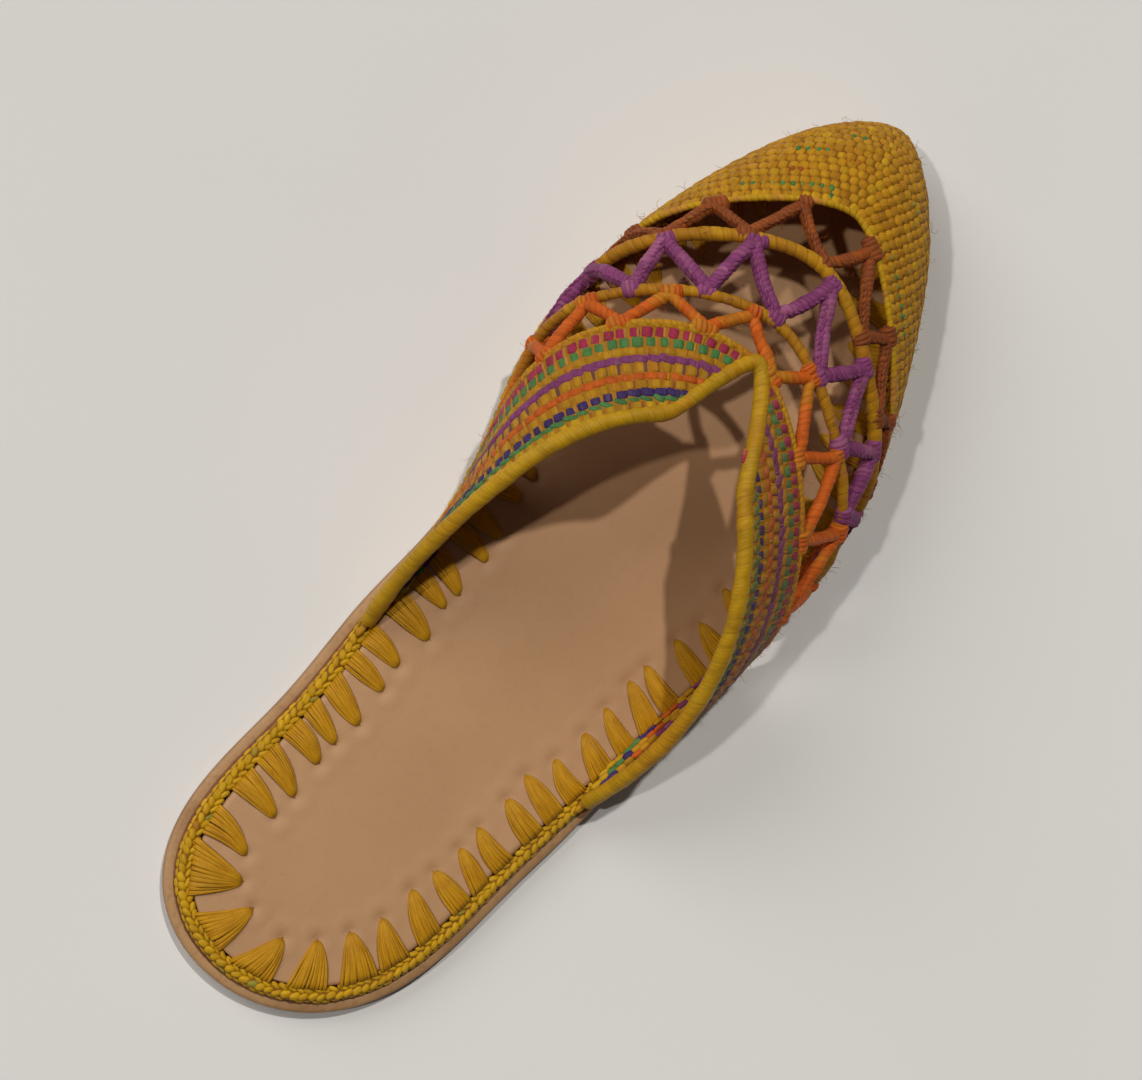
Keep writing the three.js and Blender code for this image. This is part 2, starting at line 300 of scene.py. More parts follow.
BRICK = Stitch(wide=1.10, tall=1.18, thick=0.74, blunt=3.6, lean=0.34, tilt=0.16, groove=0.06, square=0.62)
BLOCK = Stitch(wide=1.24, tall=1.16, thick=0.66, blunt=6.0, square=0.50)
POST = Stitch(wide=1.10, tall=1.20, thick=0.60, blunt=6.0, square=0.70, sides=6)
FLOAT = Stitch(wide=1.80, tall=1.14, thick=0.72, blunt=4.0, lean=0.25, square=0.65)
PEEK = Stitch(wide=0.56, tall=1.0, thick=0.5, blunt=1.6, lean=0.0)


class BandRow(NamedTuple):
    """A row of the striped band: its share of the height, its blocks and the posts between them.

    Up to solid across, on the left, the row has no posts.
    """
    tall: float
    block: str
    post: str
    block_share: float
    form: Stitch = BLOCK
    solid: float = 0.0


BAND_ROWS = (
    BandRow(0.6, "straw", "amber", 0.74),
    BandRow(1.15, "magenta", "apricot", 0.72),
    BandRow(1.1, "green", "apricot", 0.70),
    BandRow(0.9, "straw", "amber", 0.74, FLOAT),
    BandRow(0.9, "purple", "mauve", 0.80, FLOAT),
    BandRow(1.2, "straw", "plum", 0.66),
    BandRow(0.9, "orange", "straw", 0.70, FLOAT),
    BandRow(1.05, "straw", "cinnamon", 0.70),
    BandRow(1.0, "indigo", "apricot", 0.72, solid=0.26),
    BandRow(0.6, "green", "green", 0.70, FLOAT),
    BandRow(0.95, "lemon", "cinnamon", 0.66),
)
BAND_TONE = 0.84
# Painted shade: the right wing's dyes are muddied toward plum, as that wing faces away from the lamps.
OUTER_WING_PAINTED_SHADE = 0.30


class Thread(NamedTuple):
    """A thread of another dye that peeks out between a row's stitches, from one place across to another."""
    row: int
    start: float
    end: float
    dye: str


CAP_THREADS = (
    Thread(18, -0.14, -0.10, "teal"), Thread(17, -0.50, -0.12, "green"), Thread(17, 0.24, 0.58, "green"),
    Thread(15, -0.42, -0.33, "rust"), Thread(13, -0.25, -0.15, "rust"), Thread(12, -0.54, -0.36, "green"),
    Thread(11, 0.26, 0.36, "green"), Thread(9, -0.40, -0.29, "green"),
)
CAP_ROWS = 19
CAP_STITCH = 2.4
BAND_STITCH = 3.0
BAND_STOP = 1.6
BAND_END = 0.985
SHEET_HALF = 0.35
SHEET_FROM_RIDGE = 0.03
SHEET_FROM_FRONT = 0.4
SHEET_FROM_COLLAR = 0.8
SHEET_LEAST = 0.05
ROW_END = 0.99
PEEK_SINK = 0.36
PEEK_LENGTH = 2.0


def dyed(red, green, blue):
    """A colour as it looks on a screen, 0 to 255, as the linear colour that shaders take."""
    share = np.array([red, green, blue]) / 255
    return np.where(share <= 0.04045, share / 12.92, ((share + 0.055) / 1.055) ** 2.4)


DYES = {
    "straw": dyed(194, 140, 10),
    "lemon": dyed(204, 158, 12),
    "gold": dyed(193, 149, 12),
    "ochre": dyed(182, 124, 12),
    "amber": dyed(200, 128, 22),
    "apricot": dyed(202, 140, 52),
    "rust": dyed(166, 84, 24),
    "sienna": dyed(144, 73, 28),
    "orange": dyed(210, 98, 16),
    "cinnamon": dyed(172, 104, 34),
    "magenta": dyed(172, 44, 80),
    "purple": dyed(140, 64, 118),
    "mauve": dyed(150, 88, 128),
    "plum": dyed(120, 78, 66),
    "lilac": dyed(168, 94, 138),
    "indigo": dyed(66, 44, 106),
    "green": dyed(80, 136, 72),
    "teal": dyed(34, 112, 74),
    # shade is painted shade: a darker straw for the sheet and core that show in the gaps between stitches
    "shade": dyed(140, 92, 14),
    "natural": dyed(188, 149, 108),
}


# Plain geometry

UP = np.array([0, 0, 1.0])


def mix(start, end, share):
    return start + (end - start) * share


def ease(value, start, end):
    share = np.clip((value - start) / (end - start), 0, 1)
    return share * share * (3 - 2 * share)


def unit(vectors):
    return vectors / np.maximum(np.linalg.norm(vectors, axis=-1, keepdims=True), 1e-9)


def run_of(points):
    """Length along a line of points, at each of them."""
    steps = np.linalg.norm(np.diff(points, axis=0), axis=1)
    return np.concatenate([[0.0], np.cumsum(steps)])


def resampled(points, run, marks):
    return np.stack([np.interp(marks, run, points[:, k]) for k in range(points.shape[1])], axis=1)


def wobble(rng, places, size):
    """Smooth random numbers from -size to size, changing over about one unit of places."""
    low = math.floor(places.min())
    knots = np.arange(low, math.ceil(places.max()) + 2)
    return np.interp(places, knots, rng.uniform(-size, size, len(knots)))


def jitter(rng, size, count):
    """A column of random numbers from -size to size."""
    return rng.uniform(-size, size, count)[:, None]


def uneven(rng, size, count):
    """A column of random factors near 1."""
    return rng.uniform(1 - size, 1 + size, count)[:, None]


def fibre_starts(rng, count):
    """Where each strand starts in the pattern of the fibres."""
    return rng.uniform(0, FIBRE_REPEAT, count)


def plumpness(climb, blunt, reach=1.94):
    """Fullness of a stitch from its start at -0.5 to its end at 0.5; a high blunt keeps its ends full."""
    return np.sqrt(1 - np.abs(reach * climb) ** blunt)


def end_shade(plump, depth):
    """Tone along a stitch, darker by depth at its ends."""
    return (1 - depth + depth * plump)[:, None]


def lifted(flat, height):
    """Points of the plan at a height."""
    return np.concatenate([flat, np.broadcast_to(height, flat.shape[:-1])[..., None]], axis=-1)


# The last

def half_width(y, side):
    """Half width of the plan, with its waist on the inner side, where side is negative."""
    y = np.asarray(y, float)
    inner = np.asarray(side) < 0
    ball = np.where(inner, INNER_BALL_HALF_WIDTH, OUTER_BALL_HALF_WIDTH)
    hollow = np.cos(np.clip((y - WAIST_FROM_HEEL) / WAIST_REACH, -1, 1) * np.pi / 2) ** 2
    heel = HEEL_HALF_WIDTH * np.sqrt(1 - (1 - np.clip(y / HEEL_DEPTH, 0, 1)) ** HEEL_ROUNDNESS)
    waist = mix(HEEL_HALF_WIDTH, ball, ease(y, HEEL_DEPTH, BALL_FROM_HEEL)) - inner * WAIST_HOLLOW * hollow
    along = np.clip((y - BALL_FROM_HEEL) / (LENGTH - BALL_FROM_HEEL), 0, 1)
    toe = ball * (1 - along ** TOE_TAPER) ** TOE_ROUNDNESS
    return np.where(y < HEEL_DEPTH, heel, np.where(y < BALL_FROM_HEEL, waist, toe))


def centre_line(y):
    return SIDE_BOW * np.sin(np.pi * np.clip(y / LENGTH, 0, 1))


def ridge_height(from_toe):
    dome = DOME_HEIGHT * np.sqrt(1 - (1 - np.clip(from_toe / DOME_LENGTH, 0, 1)) ** DOME_POWER)
    return dome + INSTEP_RISE * from_toe - INSTEP_SAG * from_toe ** 2


def last_point(from_toe, across, depth=0.0):
    """Point of the last: across runs from -1 at the left edge over 0 on the ridge to 1 at the right edge."""
    from_toe, across = np.broadcast_arrays(np.asarray(from_toe, float), np.asarray(across, float))
    shrink = 1 - depth / OUTER_BALL_HALF_WIDTH
    reach = np.maximum(from_toe - depth, 0)
    width = shrink * half_width(LENGTH - reach, across)
    height = shrink * ridge_height(reach)
    y = LENGTH - from_toe
    angle = np.minimum(np.abs(across), 1) * np.pi / 2
    rise = np.maximum(np.cos(angle), 0)
    bulge = SIDE_BULGE * np.minimum(width / BULGE_FROM_HALF_WIDTH, 1) * np.sin(np.pi * across ** 2)
    side = width * np.sin(angle) ** SHOULDER_FULLNESS + bulge
    lean = RIDGE_LEAN * rise * np.minimum(from_toe / LEAN_FROM_TOE, 1)
    x = centre_line(y) + lean + np.sign(across) * side
    z = UPPER_BASE + height * rise ** CROWN_FULLNESS
    return np.stack([x, y, z], axis=-1)


def last_normal(from_toe, across):
    """Outward direction of the last's surface."""
    step, turn = 0.5, 0.01
    from_toe = np.maximum(from_toe, 2 * step)
    across = np.clip(across, turn - 1, 1 - turn)
    lengthwise = last_point(from_toe + step, across) - last_point(from_toe - step, across)
    crosswise = last_point(from_toe, across + turn) - last_point(from_toe, across - turn)
    return unit(np.cross(lengthwise, crosswise))


def laid_at(from_toe, across, depth):
    """Points of the last's wall, and its outward directions there."""
    return last_point(from_toe, across, depth), last_normal(from_toe, across)


def arch_distance(arch, across):
    fall = (1 - np.cos(across * np.pi / 2)) ** ARCH_LEAN
    return mix(arch.ridge, arch.foot, fall) + arch.skew * np.sin(np.pi * across)


def open_collar(across):
    """Distance of the topline from the toe, before the notch is cut."""
    share = np.hypot(across, COLLAR_SOFTNESS) - COLLAR_SOFTNESS
    return mix(COLLAR_RIDGE, COLLAR_FOOT, share ** COLLAR_FALL)


def collar_distance(across):
    wing = np.where(np.asarray(across) < 0, NOTCH_INNER, NOTCH_OUTER)
    inside = 1 - (np.hypot(across, NOTCH_TIP) - NOTCH_TIP) / wing
    return open_collar(across) - NOTCH_DEPTH * (inside + np.hypot(inside, NOTCH_CORNER)) / 2


def spring(y):
    share = np.clip((y - SPRING_FROM) / (LENGTH - SPRING_FROM), 0, 1)
    return SPRING_HEIGHT * share ** 2


# The plan of the sole

def plan_line(count):
    """Even points round the sole's edge, from the heel along the right side, and the inward directions."""
    y = LENGTH * (1 - np.cos(np.linspace(0, np.pi, PLAN_SAMPLES))) / 2
    right = np.stack([centre_line(y) + half_width(y, 1), y], axis=1)
    left = np.stack([centre_line(y) - half_width(y, -1), y], axis=1)[::-1]
    edge = np.concatenate([right, left[1:]])
    run = run_of(edge)
    points = resampled(edge, run, np.arange(count) * run[-1] / count)
    tangent = unit(np.roll(points, -1, axis=0) - np.roll(points, 1, axis=0))
    inward = np.stack([-tangent[:, 1], tangent[:, 0]], axis=1)
    return points, tangent, inward, run[-1]


BRAID_LOW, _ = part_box("edge_braid")
MIDDLE_X = plan_line(FRAME_POINTS)[0][:, 0].min() - BRAID_LOW.x / MM
MIDDLE_Y = -BRAID_LOW.y / MM


def place(points):
    """The shoe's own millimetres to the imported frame's metres, with the toe lifted as in the solids."""
    points = np.array(points, float)
    points[..., 2] += spring(points[..., 1])
    return (points - np.array([MIDDLE_X, MIDDLE_Y, 0])) * MM


# Meshes gathered from arrays

def ring_quads(base, ahead, sides):
    """Quads between rings of points, given the first point of each ring and of the ring ahead of it."""
    here = np.arange(sides)
    after = (here + 1) % sides
    base, ahead = np.asarray(base)[..., None], np.asarray(ahead)[..., None]
    return np.stack([base + here, base + after, ahead + after, ahead + here], axis=-1)


def around(centres, travel, outs, sideways, upward):
    """Rings of points round a strand's centres, each with its steps sideways and outward."""
    flank = unit(np.cross(np.broadcast_to(outs, centres.shape), travel))
    crown = np.cross(travel, flank)
    return (centres[..., None, :] + flank[..., None, :] * sideways[..., None]
            + crown[..., None, :] * upward[..., None])


def grid_quads(grid):
    return np.stack([grid[:-1, :-1], grid[1:, :-1], grid[1:, 1:], grid[:-1, 1:]], axis=-1).reshape(-1, 4)


def grid_rim(grid):
    """The outer points of a grid, once round."""
    return np.concatenate([grid[0, :-1], grid[:-1, -1], grid[-1, :0:-1], grid[:0:-1, 0]])


def added(name, data):
    """A new object of the scene."""
    made = bpy.data.objects.new(name, data)
    bpy.context.scene.collection.objects.link(made)
    return made


class Work:
    """Points and faces of one piece, with a dye for every point and coordinates along each strand."""

    def __init__(self):
        self.points = []
        self.dyes = []
        self.marks = []
        self.faces = []
        self.runs = []
        self.count = 0

    def add_points(self, points, dye, mark=0.0):
        points = np.asarray(points, float).reshape(-1, 3)
        first = self.count
        self.points.append(points)
        self.dyes.append(np.broadcast_to(np.asarray(dye, float), points.shape))
        self.marks.append(np.broadcast_to(np.asarray(mark, float), len(points)))
        self.count += len(points)
        return first

    def add_faces(self, faces, runs=None):
        faces = np.asarray(faces)
        self.faces.append(faces)
        self.runs.append(np.zeros(faces.shape + (2,)) if runs is None else runs)

    def sweep(self, centres, outs, wide, thick, dye, sides=6, groove=0.0, start=0.0, square=1.0):
        """Strands swept along rows of centres, wide by thick, with a groove along their outer face.

        Below 1, square makes the round section boxier.
        """
        centres = np.asarray(centres, float)
        strands, steps = centres.shape[:2]
        turn = np.arange(sides) * 2 * np.pi / sides
        dent = 1 - groove * np.exp(-(np.cos(turn) / GROOVE_WIDTH) ** 2) * (np.sin(turn) > 0)
        wide = np.broadcast_to(wide, (strands, steps))
        thick = np.broadcast_to(thick, (strands, steps))
        sideways = wide[..., None] * np.sign(np.cos(turn)) * np.abs(np.cos(turn)) ** square
        upward = thick[..., None] * np.sign(np.sin(turn)) * np.abs(np.sin(turn)) ** square * dent
        rings = around(centres, unit(np.gradient(centres, axis=1)), outs, sideways, upward)
        dye = np.broadcast_to(np.asarray(dye, float), (strands, steps, 3))
        first = self.add_points(rings, np.repeat(dye.reshape(-1, 3), sides, axis=0))
        base = first + (np.arange(strands)[:, None] * steps + np.arange(steps - 1)) * sides
        quads = ring_quads(base, base + sides, sides)
        lengths = np.linalg.norm(np.diff(centres, axis=1), axis=2)
        along = np.concatenate([np.zeros((strands, 1)), np.cumsum(lengths, axis=1)], axis=1)
        along = along + np.broadcast_to(start, strands)[:, None]
        girth = 2 * (wide.max() + thick.max())
        k = np.arange(sides)
        u = np.stack([k, k + 1, k + 1, k], axis=-1) * girth / sides
        near, far = along[:, :-1, None], along[:, 1:, None]
        v = np.stack([near, near, far, far], axis=-1)
        runs = np.stack(np.broadcast_arrays(u, v), axis=-1)
        self.add_faces(quads.reshape(-1, 4), runs.reshape(-1, 4, 2))
        heads = first + np.arange(strands)[:, None] * steps * sides
        self.add_faces(heads + k[::-1])
        self.add_faces(heads + (steps - 1) * sides + k)

    def tube(self, rings, dyes, runs):
        """A skin over rings of points, with flat ends; runs has the strand coordinates, one more column."""
        steps, sides = rings.shape[:2]
        first = self.add_points(rings, dyes.reshape(-1, 3))
        base = first + np.arange(steps - 1) * sides
        quads = ring_quads(base, base + sides, sides)
        corners = np.stack([runs[:-1, :-1], runs[:-1, 1:], runs[1:, 1:], runs[1:, :-1]], axis=2)
        self.add_faces(quads.reshape(-1, 4), corners.reshape(-1, 4, 2))
        self.add_faces((first + np.arange(sides)[::-1])[None])
        self.add_faces((first + (steps - 1) * sides + np.arange(sides))[None])

    def ring(self, centres, outs, wide, thick, dye, sides=6):
        """One strand that closes on itself."""
        steps = len(centres)
        travel = unit(np.roll(centres, -1, axis=0) - np.roll(centres, 1, axis=0))
        turn = np.arange(sides) * 2 * np.pi / sides
        rings = around(centres, travel, outs, wide * np.cos(turn), thick * np.sin(turn))
        first = self.add_points(rings, dye)
        base = first + np.arange(steps) * sides
        self.add_faces(ring_quads(base, np.roll(base, -1), sides).reshape(-1, 4))

    def slab(self, outer, inner, dye):
        """A closed thin sheet between two grids of points."""
        rows, columns = outer.shape[:2]
        size = rows * columns
        first = self.add_points(np.stack([outer, inner]), dye)
        grid = first + np.arange(size).reshape(rows, columns)
        faces = grid_quads(grid)
        self.add_faces(faces)
        self.add_faces(faces[:, ::-1] + size)
        rim = grid_rim(grid)
        ahead = np.roll(rim, -1)
        self.add_faces(np.stack([rim, ahead, ahead + size, rim + size], axis=-1))

    def stack(self, loops, dyes):
        """Closed skin through loops of points of one length, flat at the bottom and the top."""
        count = loops[0].shape[0]
        firsts = [self.add_points(loop, dye) for loop, dye in zip(loops, dyes)]
        self.add_faces(ring_quads(firsts[:-1], firsts[1:], count).reshape(-1, 4))
        inner = np.arange(1, count // 2 - 1)
        strips = np.stack([inner, inner + 1, count - inner - 1, count - inner], axis=-1)
        ends = np.array([[0, 1, count - 1], [count // 2 - 1, count // 2, count // 2 + 1]])
        for faces in (strips, ends):
            self.add_faces(faces + firsts[-1])
            self.add_faces(faces[:, ::-1] + firsts[0])

    def make(self, name, finish, slot, *nodes):
        """The finished piece, riding on the shoe's one body."""
        mesh = bpy.data.meshes.new(name)
        points = place(np.concatenate(self.points))
        sizes = np.concatenate([np.full(len(f), f.shape[1]) for f in self.faces])
        corners = np.concatenate([f.ravel() for f in self.faces])
        mesh.vertices.add(len(points))
        mesh.vertices.foreach_set("co", points.astype(np.float32).ravel())
        mesh.loops.add(len(corners))
        mesh.loops.foreach_set("vertex_index", corners.astype(np.int32))
        mesh.polygons.add(len(sizes))
        mesh.polygons.foreach_set("loop_start", (np.cumsum(sizes) - sizes).astype(np.int32))
        mesh.polygons.foreach_set("use_smooth", np.ones(len(sizes), bool))
        runs = np.concatenate([r.reshape(-1, 2) for r in self.runs])
        mesh.uv_layers.new(name="strand").data.foreach_set("uv", runs.astype(np.float32).ravel())
        colours = np.ones((len(points), 4), np.float32)
        colours[:, :3] = np.clip(np.concatenate(self.dyes), 0, 1)
        mesh.color_attributes.new("dye", "FLOAT_COLOR", "POINT").data.foreach_set("color", colours.ravel())
        marks = np.concatenate(self.marks).astype(np.float32)
        mesh.attributes.new("mark", "FLOAT", "POINT").data.foreach_set("value", marks)
        mesh.update(calc_edges=True)
        mesh.materials.append(finish)
        piece = added(name, mesh)
        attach(piece, "root")
        if nodes:
            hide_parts(*nodes)


# Finishes

class Value:
    """A number that varies over a surface; arithmetic with it adds Math nodes."""

    def __init__(self, finish, socket):
        self.finish = finish
        self.socket = socket

    def worked(self, operation, first, second):
        return self.finish.node("Math", {"operation": operation}, {0: first, 1: second})

    def __add__(self, other):
        return self.worked("ADD", self, other)

    __radd__ = __add__

    def __sub__(self, other):
        return self.worked("SUBTRACT", self, other)

    def __rsub__(self, other):
        return self.worked("SUBTRACT", other, self)

    def __mul__(self, other):
        return self.worked("MULTIPLY", self, other)


class Finish:
    """One material and its nodes."""

    def __init__(self, name):
        self.material = bpy.data.materials.new(name)
        self.material.use_nodes = True
        self.tree = self.material.node_tree
        self.tree.nodes.clear()

    def node(self, kind, settings, sockets, output=0):
        """A node: its settings are set first, then the values or links of its sockets."""
        made = self.tree.nodes.new("ShaderNode" + kind)
        for name, value in settings.items():
            setattr(made, name, value)
        for key, value in sockets.items():
            if isinstance(value, Value):
                self.tree.links.new(value.socket, made.inputs[key])
            else:
                made.inputs[key].default_value = value
        return Value(self, made.outputs[output]) if made.outputs else None

    def noise(self, where, scale, detail=2.0, roughness=0.5):
        sockets = {"Vector": where, "Scale": scale, "Detail": detail, "Roughness": roughness}
        return self.node("TexNoise", {}, sockets)

    def stretched(self, where, factors):
        return self.node("VectorMath", {"operation": "MULTIPLY"}, {0: where, 1: factors})

    def between(self, value, low, high):
        """0 below low to 1 above high, smoothly."""
        sockets = {"Value": value, "From Min": low, "From Max": high}
        return self.node("MapRange", {"interpolation_type": "SMOOTHSTEP"}, sockets)

    def tinted(self, colour, tint, amount):
        """A colour multiplied by a tint, by an amount that may vary."""
        settings = {"data_type": "RGBA", "blend_type": "MULTIPLY"}
        return self.node("Mix", settings, {0: amount, 6: colour, 7: (*tint, 1.0)}, output=2)

    def blended(self, start, end, amount):
        return self.node("Mix", {"data_type": "RGBA"}, {0: amount, 6: start, 7: end}, output=2)

    def bump(self, height, distance, strength=1.0):
        sockets = {"Height": height, "Distance": distance * MM, "Strength": strength}
        return self.node("Bump", {}, sockets)

    def surface(self, sockets):
        """Ends the material in one Principled shader."""
        shader = self.node("BsdfPrincipled", {}, sockets)
        self.node("OutputMaterial", {}, {"Surface": shader})
        return self.material


def raffia(name, dullness):
    """Dyed palm fibre: fine lengthwise streaks, uneven dye and a satin surface."""
    fine, broad = (2.6, 0.22, 1.0), (0.9, 0.10, 1.0)
    shadowed, blotched, bleached = (0.62, 0.52, 0.42), (0.84, 0.76, 0.66), (0.70, 0.48, 0.12, 1.0)
    finish = Finish(name)
    strand = finish.node("UVMap", {"uv_map": "strand"}, {})
    dye = finish.node("Attribute", {"attribute_name": "dye"}, {})
    fibre = finish.noise(finish.stretched(strand, fine), 1.0, 3.0, 0.6)
    streak = finish.noise(finish.stretched(strand, broad), 1.0, 2.0, 0.5)
    blotch = finish.noise(finish.node("TexCoord", {}, {}, "Object"), 260.0, 2.0)
    dark = finish.between(fibre, 0.62, 0.34)
    pale = finish.between(streak, 0.55, 0.75)
    colour = finish.tinted(dye, shadowed, dark * 0.55)
    colour = finish.tinted(colour, blotched, finish.between(blotch, 0.45, 0.75) * 0.6)
    colour = finish.blended(colour, bleached, pale * 0.10)
    ridges = fibre + streak * 0.5
    return finish.surface({
        "Base Color": colour,
        "Roughness": dullness - pale * 0.08 + dark * 0.12,
        "Specular IOR Level": 0.24,
        "Sheen Weight": 0.03,
        "Sheen Roughness": 0.5,
        "Normal": finish.bump(ridges, 0.13, 0.8),
    })


def insole_leather():
    """Natural undyed leather: soft clouds, fine pores, faint rubs and painted shade in the needle holes."""
    light, deep = (0.528, 0.293, 0.143, 1.0), (0.490, 0.270, 0.130, 1.0)
    flecked, hole_shade = (0.90, 0.87, 0.84), (0.22, 0.14, 0.08)
    finish = Finish("natural_insole_leather")
    where = finish.node("TexCoord", {}, {}, "Object")
    hole = finish.node("Attribute", {"attribute_name": "mark"}, {}, "Fac")
    cloud = finish.noise(where, 28.0, 3.0, 0.55)
    fleck = finish.noise(where, 420.0, 2.0, 0.6)
    pore = finish.node("TexVoronoi", {"feature": "F1"}, {"Vector": where, "Scale": 1500.0})
    rub = finish.noise(finish.stretched(where, (1.0, 0.18, 1.0)), 300.0, 2.0, 0.6)
    base = finish.blended(light, deep, finish.between(cloud, 0.35, 0.68))
    base = finish.tinted(base, flecked, finish.between(fleck, 0.52, 0.74) * 0.3)
    # Painted shade darkens the needle holes where the tufts go in.
    base = finish.tinted(base, hole_shade, finish.between(hole, 0.45, 0.95))
    grain = pore * 0.5 + fleck * 0.6 + rub * 0.3
    return finish.surface({
        "Base Color": base,
        "Roughness": 0.50 + cloud * 0.14 - finish.between(rub, 0.55, 0.8) * 0.06,
        "Specular IOR Level": 0.36,
        "Normal": finish.bump(grain, 0.05, 0.7),
    })


def sole_leather():
    """Tan sole leather, paler along the top of its edge and darker in a line where the braid sits; each
    point's dye carries these.
    """
    clouded, fibrous = (0.70, 0.62, 0.56), (0.74, 0.66, 0.60)
    finish = Finish("tan_sole_leather")
    where = finish.node("TexCoord", {}, {}, "Object")
    dye = finish.node("Attribute", {"attribute_name": "dye"}, {})
    cloud = finish.noise(where, 60.0, 3.0, 0.6)
    fibre = finish.noise(finish.stretched(where, (1.0, 1.0, 5.0)), 700.0, 3.0, 0.6)
    base = finish.tinted(dye, clouded, finish.between(cloud, 0.42, 0.72) * 0.7)
    base = finish.tinted(base, fibrous, finish.between(fibre, 0.48, 0.70) * 0.6)
    return finish.surface({
        "Base Color": base,
        "Roughness": 0.46 + fibre * 0.16,
        "Specular IOR Level": 0.42,
        "Normal": finish.bump(fibre + cloud * 0.4, 0.06, 0.7),
    })


def floor_paint():
    """Plain pale floor with a hardly visible unevenness."""
    light, dim = (0.86, 0.85, 0.83, 1.0), (0.82, 0.81, 0.79, 1.0)
    finish = Finish("pale_floor")
    cloud = finish.noise(finish.node("TexCoord", {}, {}, "Object"), 9.0, 2.0)
    base = finish.blended(light, dim, cloud)
    return finish.surface({"Base Color": base, "Roughness": 0.75, "Specular IOR Level": 0.2})


# Sole pieces

class EdgeLoop(NamedTuple):
    """A loop round the outsole: its inset from the edge, its height and its dye."""
    inset: float
    height: float
    dye: np.ndarray


TAN = dyed(160, 117, 76)
PALE_TAN = dyed(184, 142, 96)
DARK_TAN = dyed(140, 92, 62)
OUTSOLE_LOOPS = (
    EdgeLoop(1.8, 0.0, TAN), EdgeLoop(1.1, 0.08, TAN), EdgeLoop(0.4, 0.45, TAN),
    EdgeLoop(0.0, 1.1, TAN), EdgeLoop(0.0, 2.2, TAN), EdgeLoop(0.0, 3.5, TAN),
    EdgeLoop(0.12, 4.0, PALE_TAN), EdgeLoop(0.45, 4.36, PALE_TAN),
    EdgeLoop(0.9, OUTSOLE_THICKNESS, PALE_TAN), EdgeLoop(1.7, OUTSOLE_THICKNESS, PALE_TAN),
    EdgeLoop(2.1, OUTSOLE_THICKNESS, PALE_TAN),
    # A darker tan line runs where the braid sits on the sole.
    EdgeLoop(2.3, 4.46, DARK_TAN), EdgeLoop(2.9, 4.45, DARK_TAN),
    EdgeLoop(4.5, 4.45, TAN), EdgeLoop(9.0, 4.45, TAN),
)


def outsole_piece(finish):
    """Flat tan sole with a rounded edge, whose margin shows round the heel."""
    edge, _, inward, _ = plan_line(OUTSOLE_POINTS)
    margin = mix(OUTSOLE_HEEL_MARGIN, OUTSOLE_TOE_MARGIN, ease(edge[:, 1], MARGIN_FADE_FROM, MARGIN_FADE_TO))
    loops = []
    for loop in OUTSOLE_LOOPS:
        loops.append(lifted(edge + inward * (loop.inset - margin)[:, None], loop.height))
    work = Work()
    work.stack(loops, [loop.dye for loop in OUTSOLE_LOOPS])
    work.make("sole_leather", finish, "outsole_leather", "outsole")


def tuft_places(rng):
    """Foot, edge direction, tip and room along the rim of every sewn tuft, in plan."""
    edge, tangent, inward, _ = plan_line(SOCK_POINTS)
    sewn = edge + inward * (BRAID_WIDTH + TUFT_LENGTH)
    run = run_of(sewn)
    tufts = int(run[-1] / TUFT_PITCH)
    places = (np.arange(tufts) + 0.5 + rng.uniform(-TUFT_SHIFT, TUFT_SHIFT, tufts)) / tufts * run[-1]
    marks = np.interp(places, run, np.arange(SOCK_POINTS)).astype(int)
    marks = marks[edge[marks, 1] < LENGTH - TUFTS_STOP]
    window = 8
    near, far = marks - window, (marks + window) % SOCK_POINTS
    stretch = np.linalg.norm(edge[far] - edge[near], axis=1) / np.linalg.norm(sewn[far] - sewn[near], axis=1)
    foot = edge[marks] + inward[marks] * (BRAID_WIDTH - TUFT_TUCK)
    slant = TUFT_SLANT + jitter(rng, TUFT_SHIFT, len(marks))
    reach = TUFT_LENGTH * rng.uniform(*TUFT_REACH, len(marks))[:, None]
    tip = foot + (inward[marks] + tangent[marks] * slant) * reach
    return foot, tangent[marks], tip, TUFT_PITCH * stretch


